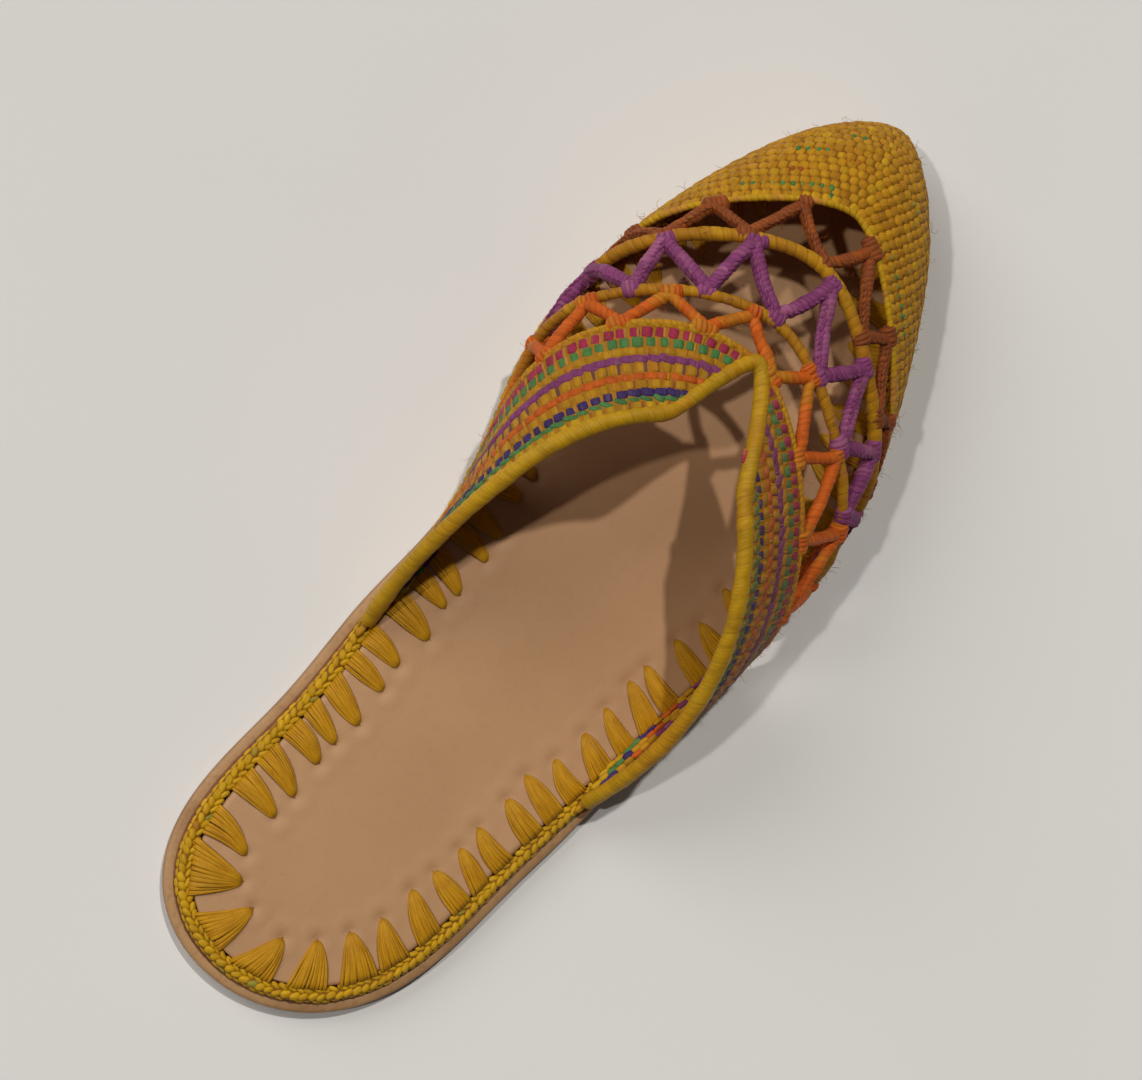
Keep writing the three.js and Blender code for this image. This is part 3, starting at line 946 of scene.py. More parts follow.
def insole_piece(finish, tips):
    """Natural leather sock, dimpled where the tufts go through it."""
    edge, _, inward, _ = plan_line(SOCK_POINTS)
    loop = edge + inward * INSOLE_INSET
    toe_end, heel_end = loop[:, 1].argmax(), loop[:, 1].argmin()
    right = np.roll(loop, -heel_end, axis=0)[: (toe_end - heel_end) % SOCK_POINTS + 1]
    left = np.roll(loop, -toe_end, axis=0)[: (heel_end - toe_end) % SOCK_POINTS + 1][::-1]
    trim = 0.02
    low, high = loop[:, 1].min() + trim, loop[:, 1].max() - trim
    y = mix(low, high, (1 - np.cos(np.linspace(0, np.pi, SOCK_ROWS))) / 2)
    x_right = np.interp(y, right[:, 1], right[:, 0])[:, None]
    x_left = np.interp(y, left[:, 1], left[:, 0])[:, None]
    x = mix(x_left, x_right, np.linspace(0, 1, SOCK_COLUMNS))
    flat = np.stack([x, np.broadcast_to(y[:, None], x.shape)], axis=-1)
    away = np.linalg.norm(flat.reshape(-1, 1, 2) - tips, axis=2).min(axis=1).reshape(x.shape)
    to_end = np.minimum(y - low, high - y) + SOCK_END_ROOM
    to_edge = np.minimum(np.minimum(x - x_left, x_right - x), to_end[:, None])
    z = INSOLE_TOP - SOCK_EDGE_DROP * (1 - np.clip(to_edge / SOCK_EDGE_WIDTH, 0, 1)) ** 2
    z += SOCK_WAVE * np.sin(x / SOCK_WAVE_ACROSS + SOCK_WAVE_PHASE) * np.sin(flat[..., 1] / SOCK_WAVE_ALONG)
    z += DIMPLE_RIM * np.exp(-((away - DIMPLE_RIM_RADIUS) / DIMPLE_RIM_WIDTH) ** 2)
    z -= DIMPLE_DEPTH * np.exp(-(away / DIMPLE_RADIUS) ** 2)
    work = Work()
    hole = np.exp(-(away / NEEDLE_HOLE_RADIUS) ** 2)
    first = work.add_points(lifted(flat, z), DYES["natural"], hole.ravel())
    grid = first + np.arange(SOCK_ROWS * SOCK_COLUMNS).reshape(SOCK_ROWS, SOCK_COLUMNS)
    work.add_faces(grid_quads(grid.T))
    rim = grid_rim(grid)
    foot = work.add_points(lifted(flat.reshape(-1, 2)[rim - first], INSOLE_BOTTOM), DYES["natural"])
    here = np.arange(len(rim))
    after = np.roll(here, -1)
    work.add_faces(np.stack([rim, foot + here, foot + after, rim[after]], axis=-1))
    work.add_faces((foot + here[::-1])[None])
    work.make("sock_leather", finish, "insole_leather", "insole")


def tuft_piece(finish, rng, feet, tangent, tips, rooms):
    """Fans of raffia strands from the braid to one needle hole each."""
    work = Work()
    climb = np.array([0, 0.12, 0.25, 0.4, 0.55, 0.7, 0.82, 0.9, 0.95, 0.98, 1.0])
    spread = np.linspace(-1, 1, TUFT_STRANDS)
    leaf = np.maximum(1 - climb ** 2.7, 0.012) ** 0.58
    fan = (1 - climb) ** 1.4
    arch = np.sin(np.pi * climb ** 0.75) ** 0.8
    into_hole = np.clip((climb - 0.9) / 0.1, 0, 1) ** 2
    shade = mix(1.0, TUFT_TIP_SHADE, np.clip((climb - 0.88) / 0.12, 0, 1))[:, None]
    for foot, tip, edge_way, room in zip(feet, tips, tangent, rooms):
        half = TUFT_HALF_WIDTH * rng.uniform(0.85, 1.15)
        flare = max(TUFT_FILL * rng.uniform(0.8, 1.1) * room / 2 - half, 0)
        half_span = half * leaf + flare * fan
        offsets = (spread[:, None] + jitter(rng, 0.06, TUFT_STRANDS)) * half_span
        bend = rng.uniform(-0.5, 0.9) * np.sin(np.pi * climb)
        flat = mix(foot, tip, climb[:, None]) + edge_way * (offsets - bend)[..., None]
        swell = rng.uniform(0.75, 1.1) * (1 - 0.6 * spread ** 2)
        height = INSOLE_TOP + TUFT_LIFT + swell[:, None] * arch - TUFT_DIVE * into_hole
        spacing = 2 * half_span / TUFT_STRANDS
        wide = TUFT_STRAND + spacing * mix(0.46, 0.75, climb)
        wide = wide * rng.uniform(0.8, 1.25, TUFT_STRANDS)[:, None]
        tone = rng.uniform(1.02, 1.18, TUFT_STRANDS)[:, None, None]
        dye = DYES["straw"] * tone * shade
        starts = fibre_starts(rng, TUFT_STRANDS)
        work.sweep(lifted(flat, height), UP, wide, TUFT_STRAND_THICK, dye, start=starts)
    work.make("sock_tufts", finish, "braid_raffia")


class RimRow(NamedTuple):
    """A line of stitches along the sole's rim: the inset at their start and end, their height and rise,
    half their width and thickness, and how far they reach over their neighbours."""
    inset: float
    end_inset: float
    height: float
    rise: float
    wide: float
    thick: float
    overlap: float


BRAID_ROWS = (
    RimRow(inset=0.60, end_inset=0.40, height=5.3, rise=0.3, wide=0.75, thick=0.6, overlap=0.66),
    RimRow(inset=0.75, end_inset=1.85, height=6.4, rise=0.5, wide=0.88, thick=0.75, overlap=0.60),
    RimRow(inset=3.35, end_inset=2.25, height=6.6, rise=0.4, wide=0.68, thick=0.6, overlap=0.58),
)
SEAM_ROW = RimRow(inset=1.3, end_inset=1.1, height=8.0, rise=0.15, wide=0.85, thick=0.95, overlap=0.90)
HEM_ROWS = (
    RimRow(inset=1.8, end_inset=1.5, height=9.4, rise=0.2, wide=0.75, thick=0.6, overlap=0.66),
    RimRow(inset=2.8, end_inset=2.5, height=8.6, rise=0.2, wide=0.75, thick=0.6, overlap=0.66),
    RimRow(inset=3.8, end_inset=3.5, height=7.6, rise=0.2, wide=0.7, thick=0.55, overlap=0.66),
)


def rim_stitches(work, rng, line, row, marks, pitch, dyes):
    """Plump stitches laid end over end along the rim at the given marks of its line."""
    edge, _, inward, length = line
    points, stitches = len(edge), len(marks)
    climb = np.linspace(-0.5, 0.5, STITCH_STEPS)
    plump = plumpness(climb, RIM_BLUNT)
    ahead = 2 * climb * row.overlap * pitch / length * points
    index = np.round(marks[:, None] + ahead).astype(int) % points
    inset = mix(row.inset, row.end_inset, climb + 0.5) + jitter(rng, RIM_INSET_SPREAD, stitches)
    flat = edge[index] + inward[index] * inset[..., None]
    height = row.height + row.rise * plump + jitter(rng, RIM_HEIGHT_SPREAD, stitches)
    tip_over = inward[index] * (row.inset - BRAID_WIDTH / 2) * RIM_TIP_OVER
    outs = np.concatenate([tip_over, np.ones(index.shape + (1,))], axis=-1)
    wide = row.wide * plump * uneven(rng, RIM_WIDTH_SPREAD, stitches)
    dyes = dyes[:, None] * end_shade(plump, RIM_END_SHADE)
    work.sweep(lifted(flat, height), unit(outs), wide, row.thick * plump, dyes, STITCH_SIDES, RIM_GROOVE,
               fibre_starts(rng, stitches))


def braid_piece(finish, rng):
    """Crocheted chain round the sole's rim: plump stitches outside, thin ones inside, over a round core."""
    work = Work()
    line = plan_line(RIM_POINTS)
    edge, _, inward, length = line
    core = lifted(edge + inward * (BRAID_WIDTH / 2), BRAID_CORE_HEIGHT)
    # The core's darker straw is painted shade in the gaps between the braid's stitches.
    work.ring(core[::5], UP, BRAID_CORE_HALF_WIDTH, BRAID_CORE_HALF_HEIGHT, DYES["shade"], 8)
    stitches = int(length / BRAID_STITCH)
    for number, row in enumerate(BRAID_ROWS):
        places = np.arange(stitches) + 0.5 * (number % 2) + rng.uniform(-0.1, 0.1, stitches)
        dyes = DYES["lemon"] * rng.uniform(0.94, 1.18, (stitches, 1))
        for chosen in np.flatnonzero(rng.random(stitches) < BRAID_FLECK_CHANCE):
            fleck = DYES[BRAID_FLECKS[rng.integers(len(BRAID_FLECKS))]]
            dyes[chosen] = mix(dyes[chosen], fleck, rng.uniform(0.2, 0.6))
        rim_stitches(work, rng, line, row, places / stitches * len(edge), length / stitches, dyes)
    work.make("rim_braid", finish, "braid_raffia", "edge_braid")


def hem_piece(finish, rng):
    """The upper's seam on the rim, and the ends of the band's rows turned in over it down to the sock."""
    work = Work()
    line = plan_line(RIM_POINTS)
    edge, _, _, length = line
    stitches = int(length / HEM_STITCH)
    pitch = length / stitches
    marks = np.arange(stitches) / stitches * len(edge)
    marks = marks[LENGTH - edge[marks.astype(int), 1] < COLLAR_FOOT - SEAM_STOP]
    dyes = picked(rng, len(marks), "straw", [("ochre", 0.3)])
    rim_stitches(work, rng, line, SEAM_ROW, marks, pitch, dyes)
    for number, row in enumerate(HEM_ROWS):
        marks = (np.arange(stitches) + number * HEM_SHIFT) / stitches * len(edge)
        from_toe = LENGTH - edge[marks.astype(int) % len(edge), 1]
        kept = (from_toe > FIRST_CORD.foot) & (from_toe < COLLAR_FOOT - HEM_STOP - HEM_STEP_BACK * number)
        into_band = from_toe[kept] - BAND_FRONT.foot + HEM_DYE_STEP * number
        share = into_band / (COLLAR_FOOT - BAND_FRONT.foot)
        turns = np.clip((share * len(BAND_ROWS)).astype(int), -1, len(BAND_ROWS) - 1)
        names = ["orange" if turn < 0 else BAND_ROWS[turn].block for turn in turns]
        dyes = np.array([DYES[name] for name in names]) * rng.uniform(0.85, 1.1, (len(names), 1))
        rim_stitches(work, rng, line, row, marks[kept], pitch, dyes)
    work.make("band_hem", finish, "upper_raffia", "upper")


# Crocheted walls

def work_row(work, rng, row, tall, pitch, dyes, stitch):
    """Plump stitches that stand across a row, each a swollen bar of the given form."""
    centres, travel, outs = row
    count = len(centres)
    climb = np.linspace(-0.5, 0.5, STITCH_STEPS)
    plump = plumpness(climb, stitch.blunt, STITCH_REACH)
    along = unit(np.cross(travel, outs))
    reach = (tall * stitch.tall)[:, None] * uneven(rng, STITCH_HEIGHT_SPREAD, count) * climb
    slip = (stitch.lean + jitter(rng, STITCH_LEAN_SPREAD, count)) * climb * pitch
    slip = slip + jitter(rng, STITCH_SHIFT, count) * pitch
    proud = jitter(rng, STITCH_PROUD, count) + stitch.tilt * 2 * climb
    path = (centres[:, None] + travel[:, None] * reach[..., None] + along[:, None] * slip[..., None]
            + outs[:, None] * proud[..., None])
    wide = stitch.wide * pitch / 2 * plump * uneven(rng, STITCH_WIDTH_SPREAD, count)
    dyes = dyes[:, None] * end_shade(plump, STITCH_END_SHADE)
    work.sweep(path, outs[:, None], wide, stitch.thick * plump, dyes, stitch.sides, stitch.groove,
               fibre_starts(rng, count), stitch.square)


def row_at(distance, across, before, after):
    """Centres, upright directions and outward directions of a row's stitches, and the row's height there."""
    turn = 0.004
    centres, outs = laid_at(distance(across), across, WALL_CENTRE)
    ahead = last_point(distance(across + turn), across + turn, WALL_CENTRE)
    behind = last_point(distance(across - turn), across - turn, WALL_CENTRE)
    travel = unit(np.cross(unit(ahead - behind), outs))
    rise = last_point(after(across), across, WALL_CENTRE) - last_point(before(across), across, WALL_CENTRE)
    tall = np.einsum("ij,ij->i", rise, travel)
    return (centres, travel * np.sign(tall)[:, None], outs), np.abs(tall)


def row_places(distance, stitch):
    """Places across a row, about one stitch apart, and the pitch that fits."""
    across = np.linspace(-ROW_END, ROW_END, CURVE_SAMPLES)
    run = run_of(last_point(distance(across), across, WALL_CENTRE))
    count = max(int(round(run[-1] / stitch)), 1)
    marks = (np.arange(count) + 0.5) * run[-1] / count
    return np.interp(marks, run, across), run[-1] / count


def picked(rng, count, base, others):
    """Dyes of a row: mostly the base, uneven in strength, with others mixed in at their chance."""
    dyes = np.repeat(DYES[base][None], count, axis=0)
    for other, chance in others:
        chosen = rng.random(count) < chance
        dyes[chosen] = mix(dyes[chosen], DYES[other], rng.uniform(0.3, 0.85, (chosen.sum(), 1)))
    return dyes * rng.uniform(0.89, 1.10, (count, 1))


def edge_cord(work, rng, arch, dyes):
    """Thin wound cord along an arched edge of a wall."""
    path, outs = line_path(lambda t: arch_distance(arch, t), EDGE_POINTS, WALL_CENTRE)
    wrap(work, rng, path, outs, EDGE_WINDING, dyes)


def backing(work, distance, across, dye):
    """Thin sheet behind the stitches of a wall."""
    outer, inner = (last_point(distance, across, WALL_CENTRE + side) for side in (-SHEET_HALF, SHEET_HALF))
    if across[0] > across[-1]:
        outer, inner = outer[:, ::-1], inner[:, ::-1]
    work.slab(outer, inner, dye)


def cap_piece(finish, rng):
    """Toe cap in nested rows, with threads of other dyes peeking out between some stitches."""
    work = Work()
    shares = np.linspace(0.0, 1.0, 500)
    run = run_of(last_point(shares * CAP_EDGE.ridge, 0.0, WALL_CENTRE))

    def line(row):
        share = float(np.interp(row / CAP_ROWS * run[-1], run, shares))
        return lambda across: share * arch_distance(CAP_EDGE, across)

    for row in range(CAP_ROWS):
        middle, low, high = line(row + 0.5), line(row), line(row + 1)
        across, pitch = row_places(middle, CAP_STITCH)
        laid, tall = row_at(middle, across, low, high)
        others = [("ochre", 0.30), ("lemon", 0.5 if row == CAP_ROWS - 1 else 0.10)]
        work_row(work, rng, laid, tall, pitch, picked(rng, len(across), "straw", others), BRICK)
        gaps = across + 0.5 * (across[1] - across[0])
        for thread in CAP_THREADS:
            shown = gaps[(gaps > thread.start) & (gaps < thread.end)]
            if thread.row == row and len(shown):
                (centres, travel, outs), _ = row_at(line(row + 0.15), shown, low, middle)
                seat = (centres + outs * (BRICK.thick - PEEK_SINK), travel, outs)
                hues = picked(rng, len(shown), thread.dye, [("straw", 0.4)])
                work_row(work, rng, seat, np.full(len(shown), PEEK_LENGTH), pitch, hues, PEEK)
    edge_cord(work, rng, CAP_EDGE, ("lemon", "apricot"))
    # The sheet behind the cap's stitches is painted shade: a darker straw that shows in the gaps.
    across = np.linspace(-0.995, 0.995, 121)
    climb = np.linspace(0.01, 0.985, 40)[:, None] ** 1.5
    backing(work, climb * arch_distance(CAP_EDGE, across), across, DYES["shade"])
    work.make("toe_cap", finish, "upper_raffia", "upper")


def band_piece(finish, rng):
    """Striped band in two wings: blocks of dye with posts between them, cut off by the notch."""
    work = Work()
    bounds = np.concatenate([[0.0], np.cumsum([row.tall for row in BAND_ROWS])])
    bounds = bounds / bounds[-1]

    def line(share):
        return lambda across: mix(arch_distance(BAND_FRONT, across), open_collar(across) - BAND_STOP, share)

    for number, row in enumerate(BAND_ROWS):
        low, high = line(bounds[number]), line(bounds[number + 1])
        middle = line((bounds[number] + bounds[number + 1]) / 2)
        across, pitch = row_places(middle, BAND_STITCH)
        step = across[1] - across[0]
        across = across + (number % 3) / 3 * step
        for shift, dye, share, form, others in (
            (0.0, row.block, row.block_share, row.form, [("amber", 0.15)] if row.block == "straw" else []),
            (0.5, row.post, 1 - row.block_share, POST, [("straw", 0.25)]),
        ):
            places = across + shift * step
            kept = (np.abs(places) < BAND_END) & (middle(places) < collar_distance(places) - BAND_STOP / 2)
            places = places[kept]
            laid, tall = row_at(middle, places, low, high)
            dyes = picked(rng, len(places), dye, others) * BAND_TONE
            # Painted shade on the right wing, which faces away from the lamps.
            outer_wing = places > 0
            dyes[outer_wing] = mix(dyes[outer_wing], DYES["plum"] * BAND_TONE, OUTER_WING_PAINTED_SHADE)
            solid = (places < 0) & (places > -row.solid)
            dyes[solid] = DYES[row.block] * rng.uniform(0.75, 0.95, (solid.sum(), 1))
            for chosen, shape in ((~solid, form), (solid, FLOAT)):
                if chosen.any():
                    part = tuple(rows[chosen] for rows in laid)
                    work_row(work, rng, part, tall[chosen], share * pitch, dyes[chosen], shape)
    edge_cord(work, rng, BAND_FRONT, ("straw", "amber"))
    for side in (-1, 1):
        across = side * np.linspace(SHEET_FROM_RIDGE, ROW_END, 90)
        front = arch_distance(BAND_FRONT, across) + SHEET_FROM_FRONT
        back = np.maximum(collar_distance(across) - SHEET_FROM_COLLAR, front + SHEET_LEAST)
        distance = mix(front, back, np.linspace(0, 1, 14)[:, None])
        backing(work, distance, across, DYES["ochre"] * BAND_TONE)
    work.make("striped_band", finish, "upper_raffia", "upper")


# Ropes

def wrap(work, rng, path, outs, winding, dyes):
    """Raffia wound round a cord along a path, in shallow uneven turns with painted shade in the creases
    between them.
    """
    run = run_of(path)
    length = run[-1]
    step = min(winding.pitch / TURN_STEPS, ROPE_STEP)
    marks = np.linspace(0, length, max(int(length / step), ROPE_LEAST_STEPS))
    line = resampled(path, run, marks)
    up = unit(resampled(outs, run, marks))
    ahead = unit(np.gradient(line, axis=0))
    side = unit(np.cross(ahead, up))
    up = np.cross(side, ahead)
    angle = np.linspace(-np.pi, np.pi, ROPE_SIDES + 1)
    wound = marks / winding.pitch
    phase = (wound + wobble(rng, wound, TURN_WANDER))[:, None] - winding.starts * angle / (2 * np.pi)
    turn = np.floor(phase).astype(int)
    share = phase - turn
    turn = turn - turn.min()
    turns = turn.max() + 1
    crease_shade = np.exp(-(np.minimum(share, 1 - share) * winding.pitch / CREASE_WIDTH) ** 2)
    swell = np.sin(np.pi * share) ** 0.7 + rng.uniform(-TURN_SWELL, TURN_SWELL, turns)[turn]
    lumps = wobble(rng, marks / (2 * winding.radius), winding.lumps)
    ends = np.clip(np.minimum(marks, length - marks) / (ROPE_END * winding.radius), 0.05, 1)
    reach = (winding.radius + lumps)[:, None] + winding.depth * (swell - 1)
    reach = reach * np.sqrt(1 - (1 - ends) ** 2)[:, None]
    radial = up[:, None] * np.cos(angle)[:, None] + side[:, None] * np.sin(angle)[:, None]
    rings = line[:, None] + radial * reach[..., None]
    # Painted shade darkens the creases between turns.
    tone = rng.uniform(*TURN_TONE, turns)[turn] * (1 - winding.crease_shade * crease_shade)
    second = np.clip(wobble(rng, np.arange(turns) * SECOND_DYE_DRIFT, SECOND_DYE_SIZE), 0, 1)[turn]
    dye = mix(DYES[dyes[0]], DYES[dyes[1]], second[..., None]) * tone[..., None]
    across_ribbon = marks[:, None] - winding.starts * winding.pitch * angle / (2 * np.pi)
    along_ribbon = np.broadcast_to(winding.radius * angle, phase.shape)
    work.tube(rings[:, :-1], dye[:, :-1], np.stack([across_ribbon, along_ribbon], axis=-1))
    if winding.chained:
        chain(work, rng, marks, (line, up, side), winding.radius, DYES[dyes[0]])


def chain(work, rng, run, frame_of, radius, dye):
    """Small stitches that chain along one flank of a wound rope."""
    climb = np.linspace(-0.5, 0.5, 6)
    middles = np.arange(CHAIN_STITCH, run[-1] - CHAIN_STITCH, CHAIN_STITCH)
    places = middles[:, None] + climb * CHAIN_STITCH * CHAIN_OVERLAP
    shape = places.shape + (3,)
    spot, crown, flank = (resampled(rows, run, places.ravel()).reshape(shape) for rows in frame_of)
    angle = (CHAIN_TURN + jitter(rng, CHAIN_TURN_SPREAD, len(middles)) + CHAIN_TWIST * climb)[..., None]
    radial = unit(crown * np.cos(angle) + flank * np.sin(angle))
    plump = plumpness(climb, CHAIN_BLUNT)
    tone = rng.uniform(0.85, 1.15, (len(middles), 1, 1)) * end_shade(plump, CHAIN_END_SHADE)
    work.sweep(spot + radial * (radius - CHAIN_SINK), radial, CHAIN_HALF_WIDTH * plump,
               CHAIN_HALF_HEIGHT * plump, dye * tone, start=fibre_starts(rng, len(middles)))


def across_at(arch, share):
    """Place on an arch at a share of its length."""
    across = np.linspace(-1, 1, 161)
    run = run_of(last_point(arch_distance(arch, across), across, ROPE_DEPTH))
    return float(np.interp(share * run[-1], run, across))


def zigzag_knots(zigzag):
    """Where a zigzag is sewn to the sole and tied to its two arches, as distance from the toe and across."""
    sewn_down = (zigzag.front.foot + zigzag.back.foot) / 2
    knots = [(sewn_down, -1.0)]
    for i in range(1, 2 * zigzag.knots):
        share = zigzag.lead + (i - 1) / (2 * zigzag.knots)
        if i % 2:
            across = across_at(zigzag.front, share)
            from_toe = arch_distance(zigzag.front, across) + KNOT_SETBACK
        else:
            across = across_at(zigzag.back, BACK_KNOT_MIDDLE + zigzag.back_spread * (share - 0.5))
            from_toe = arch_distance(zigzag.back, across) - KNOT_SETBACK
        if abs(across) < KNOTS_END:
            knots.append((from_toe, across))
    return knots + [(sewn_down, 1.0)]


def zigzag_piece(finish, rng, zigzag):
    """Wrapped rope laid back and forth, tied with a few tight turns at every knot."""
    work = Work()
    knots = np.array(zigzag_knots(zigzag))
    along = np.linspace(0, 1, LEG_POINTS, endpoint=False)[:, None]
    legs = [mix(start, end, along) for start, end in zip(knots, knots[1:])]
    laid = np.concatenate(legs + [knots[-1:]])
    path, outs = laid_at(laid[:, 0], laid[:, 1], ROPE_DEPTH)
    path = path + outs * wobble(rng, run_of(path) / ROPE_WANDER_STEP, ROPE_WANDER)[:, None]
    wrap(work, rng, path, outs, zigzag.winding, zigzag.dyes)
    for from_toe, across in knots[1:-1]:
        front = abs(from_toe - arch_distance(zigzag.front, across)) < 2 * KNOT_SETBACK
        arch = zigzag.front if front else zigzag.back
        near = across + np.array([-0.01, 0.01])
        ends = last_point(arch_distance(arch, near), near, ROPE_DEPTH)
        way = unit(ends[1] - ends[0])
        middle = mix(last_point(from_toe, across, ROPE_DEPTH), ends.mean(axis=0), KNOT_PULL)
        span = np.linspace(-KNOT_HALF_SPAN, KNOT_HALF_SPAN, KNOT_POINTS)[:, None] * rng.uniform(0.75, 1.25)
        normal = np.repeat(last_normal(from_toe, across)[None], KNOT_POINTS, axis=0)
        wrap(work, rng, middle + way * span, normal, KNOT_WINDING, zigzag.dyes)
    work.make(zigzag.name, finish, "upper_raffia", "upper")


def line_path(distance, count, depth):
    """Path over the last at a distance from the toe, from sole to sole, and its outward directions."""
    across = np.linspace(-1, 1, count)
    return laid_at(distance(across), across, depth)


def cord_piece(finish, rng, name, arch, winding):
    """Straw cord between two zigzags, wound in wide turns."""
    work = Work()
    path, outs = line_path(lambda t: arch_distance(arch, t), CORD_POINTS, ROPE_DEPTH)
    wrap(work, rng, path, outs, winding, ("ochre", "straw"))
    work.make(name, finish, "upper_raffia", "upper")


def collar_piece(finish, rng):
    """Rolled topline: broad turns of gold raffia round a cord, with one knotted thread end at the notch."""
    work = Work()
    path, outs = line_path(collar_distance, COLLAR_POINTS, ROPE_DEPTH)
    run = run_of(path)
    marks = np.linspace(0, run[-1], COLLAR_MARKS)
    path, outs = resampled(path, run, marks), unit(resampled(outs, run, marks))
    wrap(work, rng, path, outs, COLLAR_WINDING, ("gold", "straw"))
    across = np.linspace(*THREAD_END_ACROSS, 8)
    beside, outs = laid_at(collar_distance(across), across, ROPE_DEPTH)
    beside = beside + unit(np.cross(np.gradient(beside, axis=0), outs)) * COLLAR_WINDING.radius
    wrap(work, rng, beside, outs, THREAD_END_WINDING, ("magenta", "apricot"))
    work.make("collar_wrap", finish, "collar_raffia", "collar_roll")


def stray_piece(finish, rng):
    """Loose fibre ends that stand off the raffia."""
    work = Work()
    hairs = []

    def root(from_toe, across, depth, dye):
        hairs.append((*laid_at(from_toe, across, depth), dye))

    for arch, dye, number in STRAY_FIBRES:
        for across in rng.uniform(-1, 1, number):
            root(arch_distance(arch, across) + rng.uniform(*STRAY_SHIFT), across, ROPE_STRAY_DEPTH, dye)
    for across in rng.uniform(-1, 1, STRAYS_ON_BAND):
        from_toe = mix(arch_distance(BAND_FRONT, across), collar_distance(across), rng.random())
        root(from_toe, across, WALL_STRAY_DEPTH, "straw")
    for share in rng.uniform(0.05, 1.0, STRAYS_ON_CAP):
        across = rng.choice([-1, 1]) * rng.uniform(0.4, 1.0)
        root(share * arch_distance(CAP_EDGE, across), across, WALL_STRAY_DEPTH, "ochre")
    climb = np.linspace(0, 1, 9)
    wide, thick = mix(0.06, 0.025, climb), mix(0.04, 0.02, climb)
    for foot, out, dye in hairs:
        for _ in range(rng.integers(1, 4)):
            way = unit(out + rng.normal(0, 0.7, 3))
            droop = unit(rng.normal(0, 1, 3))
            curl = unit(np.cross(way, droop))
            length = rng.uniform(*STRAY_LENGTH)
            turn = climb * rng.uniform(1.5, 4.5)
            path = (foot + way * (climb * length)[:, None]
                    + droop * (np.sin(turn) * STRAY_DROOP * length)[:, None]
                    + curl * ((1 - np.cos(turn)) * STRAY_CURL * length)[:, None])
            tone = rng.uniform(0.7, 1.2)
            work.sweep(path[None], curl, wide, thick, DYES[dye] * tone, 4,
                       start=rng.uniform(0, FIBRE_REPEAT))
    work.make("stray_fibres", finish, "upper_raffia")


# Floor, light and camera

CAMERA_AZIMUTH = -41.0
CAMERA_ELEVATION = 77.07
CAMERA_ROLL = 80.53
CAMERA_DISTANCE = 746.3
CAMERA_TARGET = (0.0, 131.0, 10.0)
CAMERA_LENS = 98.0
FLOOR_HALF_WIDTH = 12.0
FLOOR_DROP = 0.0003
SKY_COLOUR = (1.0, 0.985, 0.965, 1.0)
SKY_STRENGTH = 0.05


class Lamp(NamedTuple):
    """A far light: where it stands, its strength, the angle that it fills, in degrees, and its colour."""
    name: str
    azimuth: float
    elevation: float
    strength: float
    width: float
    colour: tuple


LAMPS = (
    Lamp("key", -156, 65, 1.15, 2.0, (1.0, 0.97, 0.92)),
    Lamp("second", -56, 59, 0.70, 2.0, (1.0, 0.97, 0.93)),
    Lamp("side", -95, 35, 1.0, 38.0, (1.0, 0.98, 0.95)),
)


def towards(azimuth, elevation):
    """Direction to a place at an azimuth and an elevation; azimuth 0 is behind the heel."""
    turn, lift = math.radians(azimuth), math.radians(elevation)
    return Vector((math.sin(turn) * math.cos(lift), -math.cos(turn) * math.cos(lift), math.sin(lift)))


def set_camera():
    """The photo's viewpoint: nearly overhead, through a long lens, with the shoe turned in the frame."""
    data = bpy.data.cameras.new("camera")
    data.lens = CAMERA_LENS
    data.clip_start, data.clip_end = 0.01, 50
    camera = added("camera", data)
    back = towards(CAMERA_AZIMUTH, CAMERA_ELEVATION)
    right = (-back).cross(Vector((0, 0, 1))).normalized()
    up = right.cross(-back)
    roll = math.radians(CAMERA_ROLL)
    rolled_right = right * math.cos(roll) + up * math.sin(roll)
    rolled_up = up * math.cos(roll) - right * math.sin(roll)
    turned = Matrix((rolled_right, rolled_up, back)).transposed().to_4x4()
    target = Vector(place(np.array([CAMERA_TARGET]))[0])
    camera.matrix_world = Matrix.Translation(target + back * CAMERA_DISTANCE * MM) @ turned
    bpy.context.scene.camera = camera


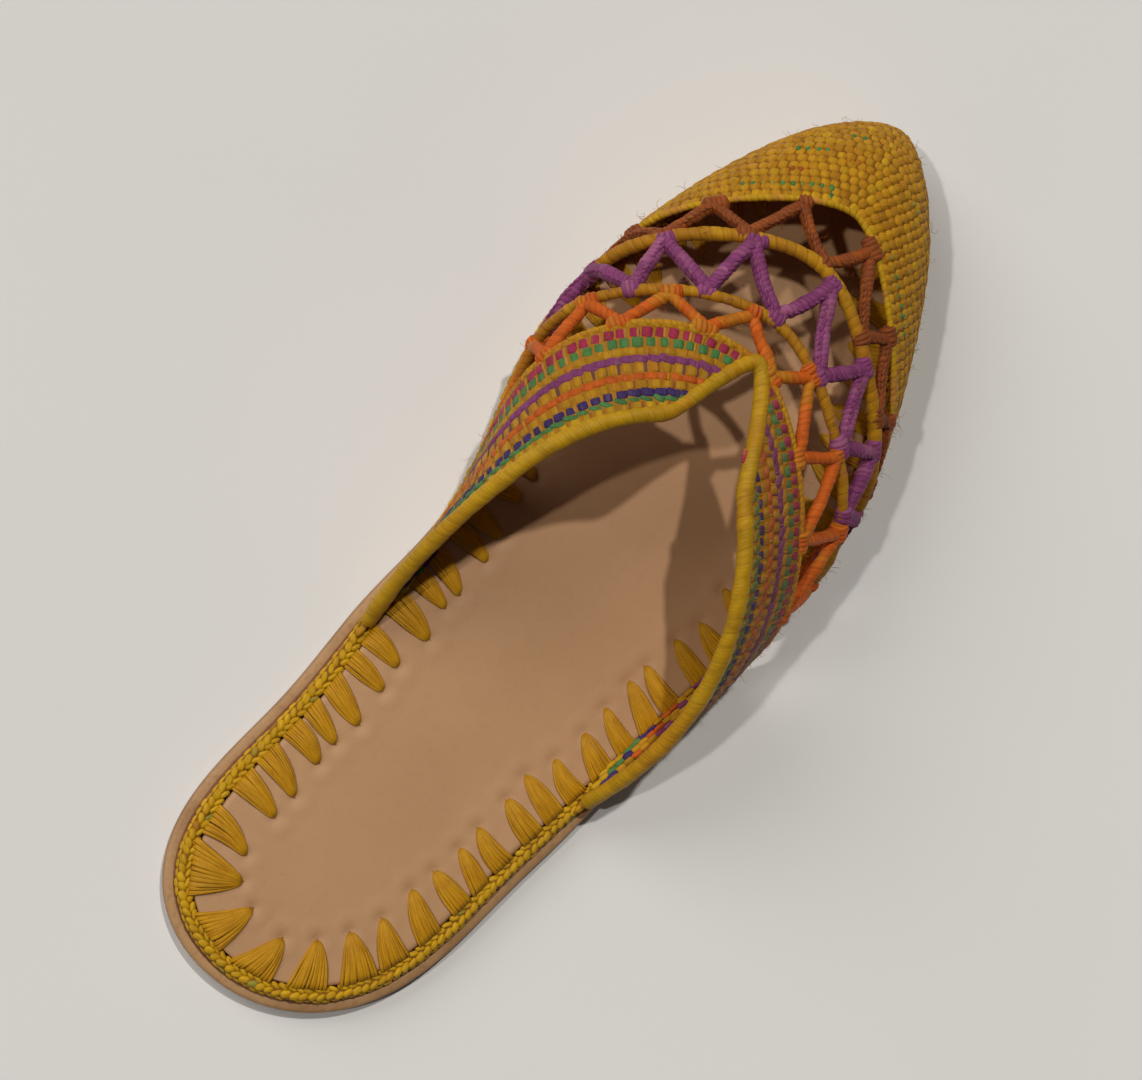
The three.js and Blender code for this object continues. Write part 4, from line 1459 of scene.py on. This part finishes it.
def set_studio():
    """Pale floor, one clear key from above, a weaker second light, a soft side light and an even sky."""
    mesh = bpy.data.meshes.new("floor")
    half = FLOOR_HALF_WIDTH
    corners = [(-half, -half, 0), (half, -half, 0), (half, half, 0), (-half, half, 0)]
    mesh.from_pydata(corners, [], [(0, 1, 2, 3)])
    mesh.materials.append(floor_paint())
    floor = added("floor", mesh)
    floor.location.z = -FLOOR_DROP
    for lamp in LAMPS:
        data = bpy.data.lights.new(lamp.name, "SUN")
        data.energy = lamp.strength
        data.angle = math.radians(lamp.width)
        data.color = lamp.colour
        light = added(lamp.name, data)
        light.rotation_mode = "QUATERNION"
        light.rotation_quaternion = towards(lamp.azimuth, lamp.elevation).to_track_quat("Z", "Y")
    world = bpy.data.worlds.new("sky")
    bpy.context.scene.world = world
    world.use_nodes = True
    sky = world.node_tree.nodes["Background"]
    sky.inputs["Color"].default_value = SKY_COLOUR
    sky.inputs["Strength"].default_value = SKY_STRENGTH
    bpy.context.scene.view_settings.view_transform = "Standard"


set_camera()
set_studio()

upper_finish = raffia("dyed_raffia", 0.60)
collar_finish = raffia("wound_raffia", 0.50)
braid_finish = raffia("straw_raffia", 0.54)

tuft_rng = np.random.default_rng(11)
tuft_feet, tuft_along, tuft_tips, tuft_rooms = tuft_places(tuft_rng)
outsole_piece(sole_leather())
insole_piece(insole_leather(), tuft_tips)
tuft_piece(braid_finish, tuft_rng, tuft_feet, tuft_along, tuft_tips, tuft_rooms)
braid_piece(braid_finish, np.random.default_rng(12))
hem_piece(upper_finish, np.random.default_rng(15))
cap_piece(upper_finish, np.random.default_rng(13))
band_piece(upper_finish, np.random.default_rng(14))
for seed, zigzag in enumerate(ZIGZAGS):
    zigzag_piece(upper_finish, np.random.default_rng(20 + seed), zigzag)
cord_piece(upper_finish, np.random.default_rng(31), "front_cord", FIRST_CORD, FRONT_CORD_WINDING)
cord_piece(upper_finish, np.random.default_rng(32), "back_cord", SECOND_CORD, BACK_CORD_WINDING)
collar_piece(collar_finish, np.random.default_rng(33))
stray_piece(upper_finish, np.random.default_rng(34))
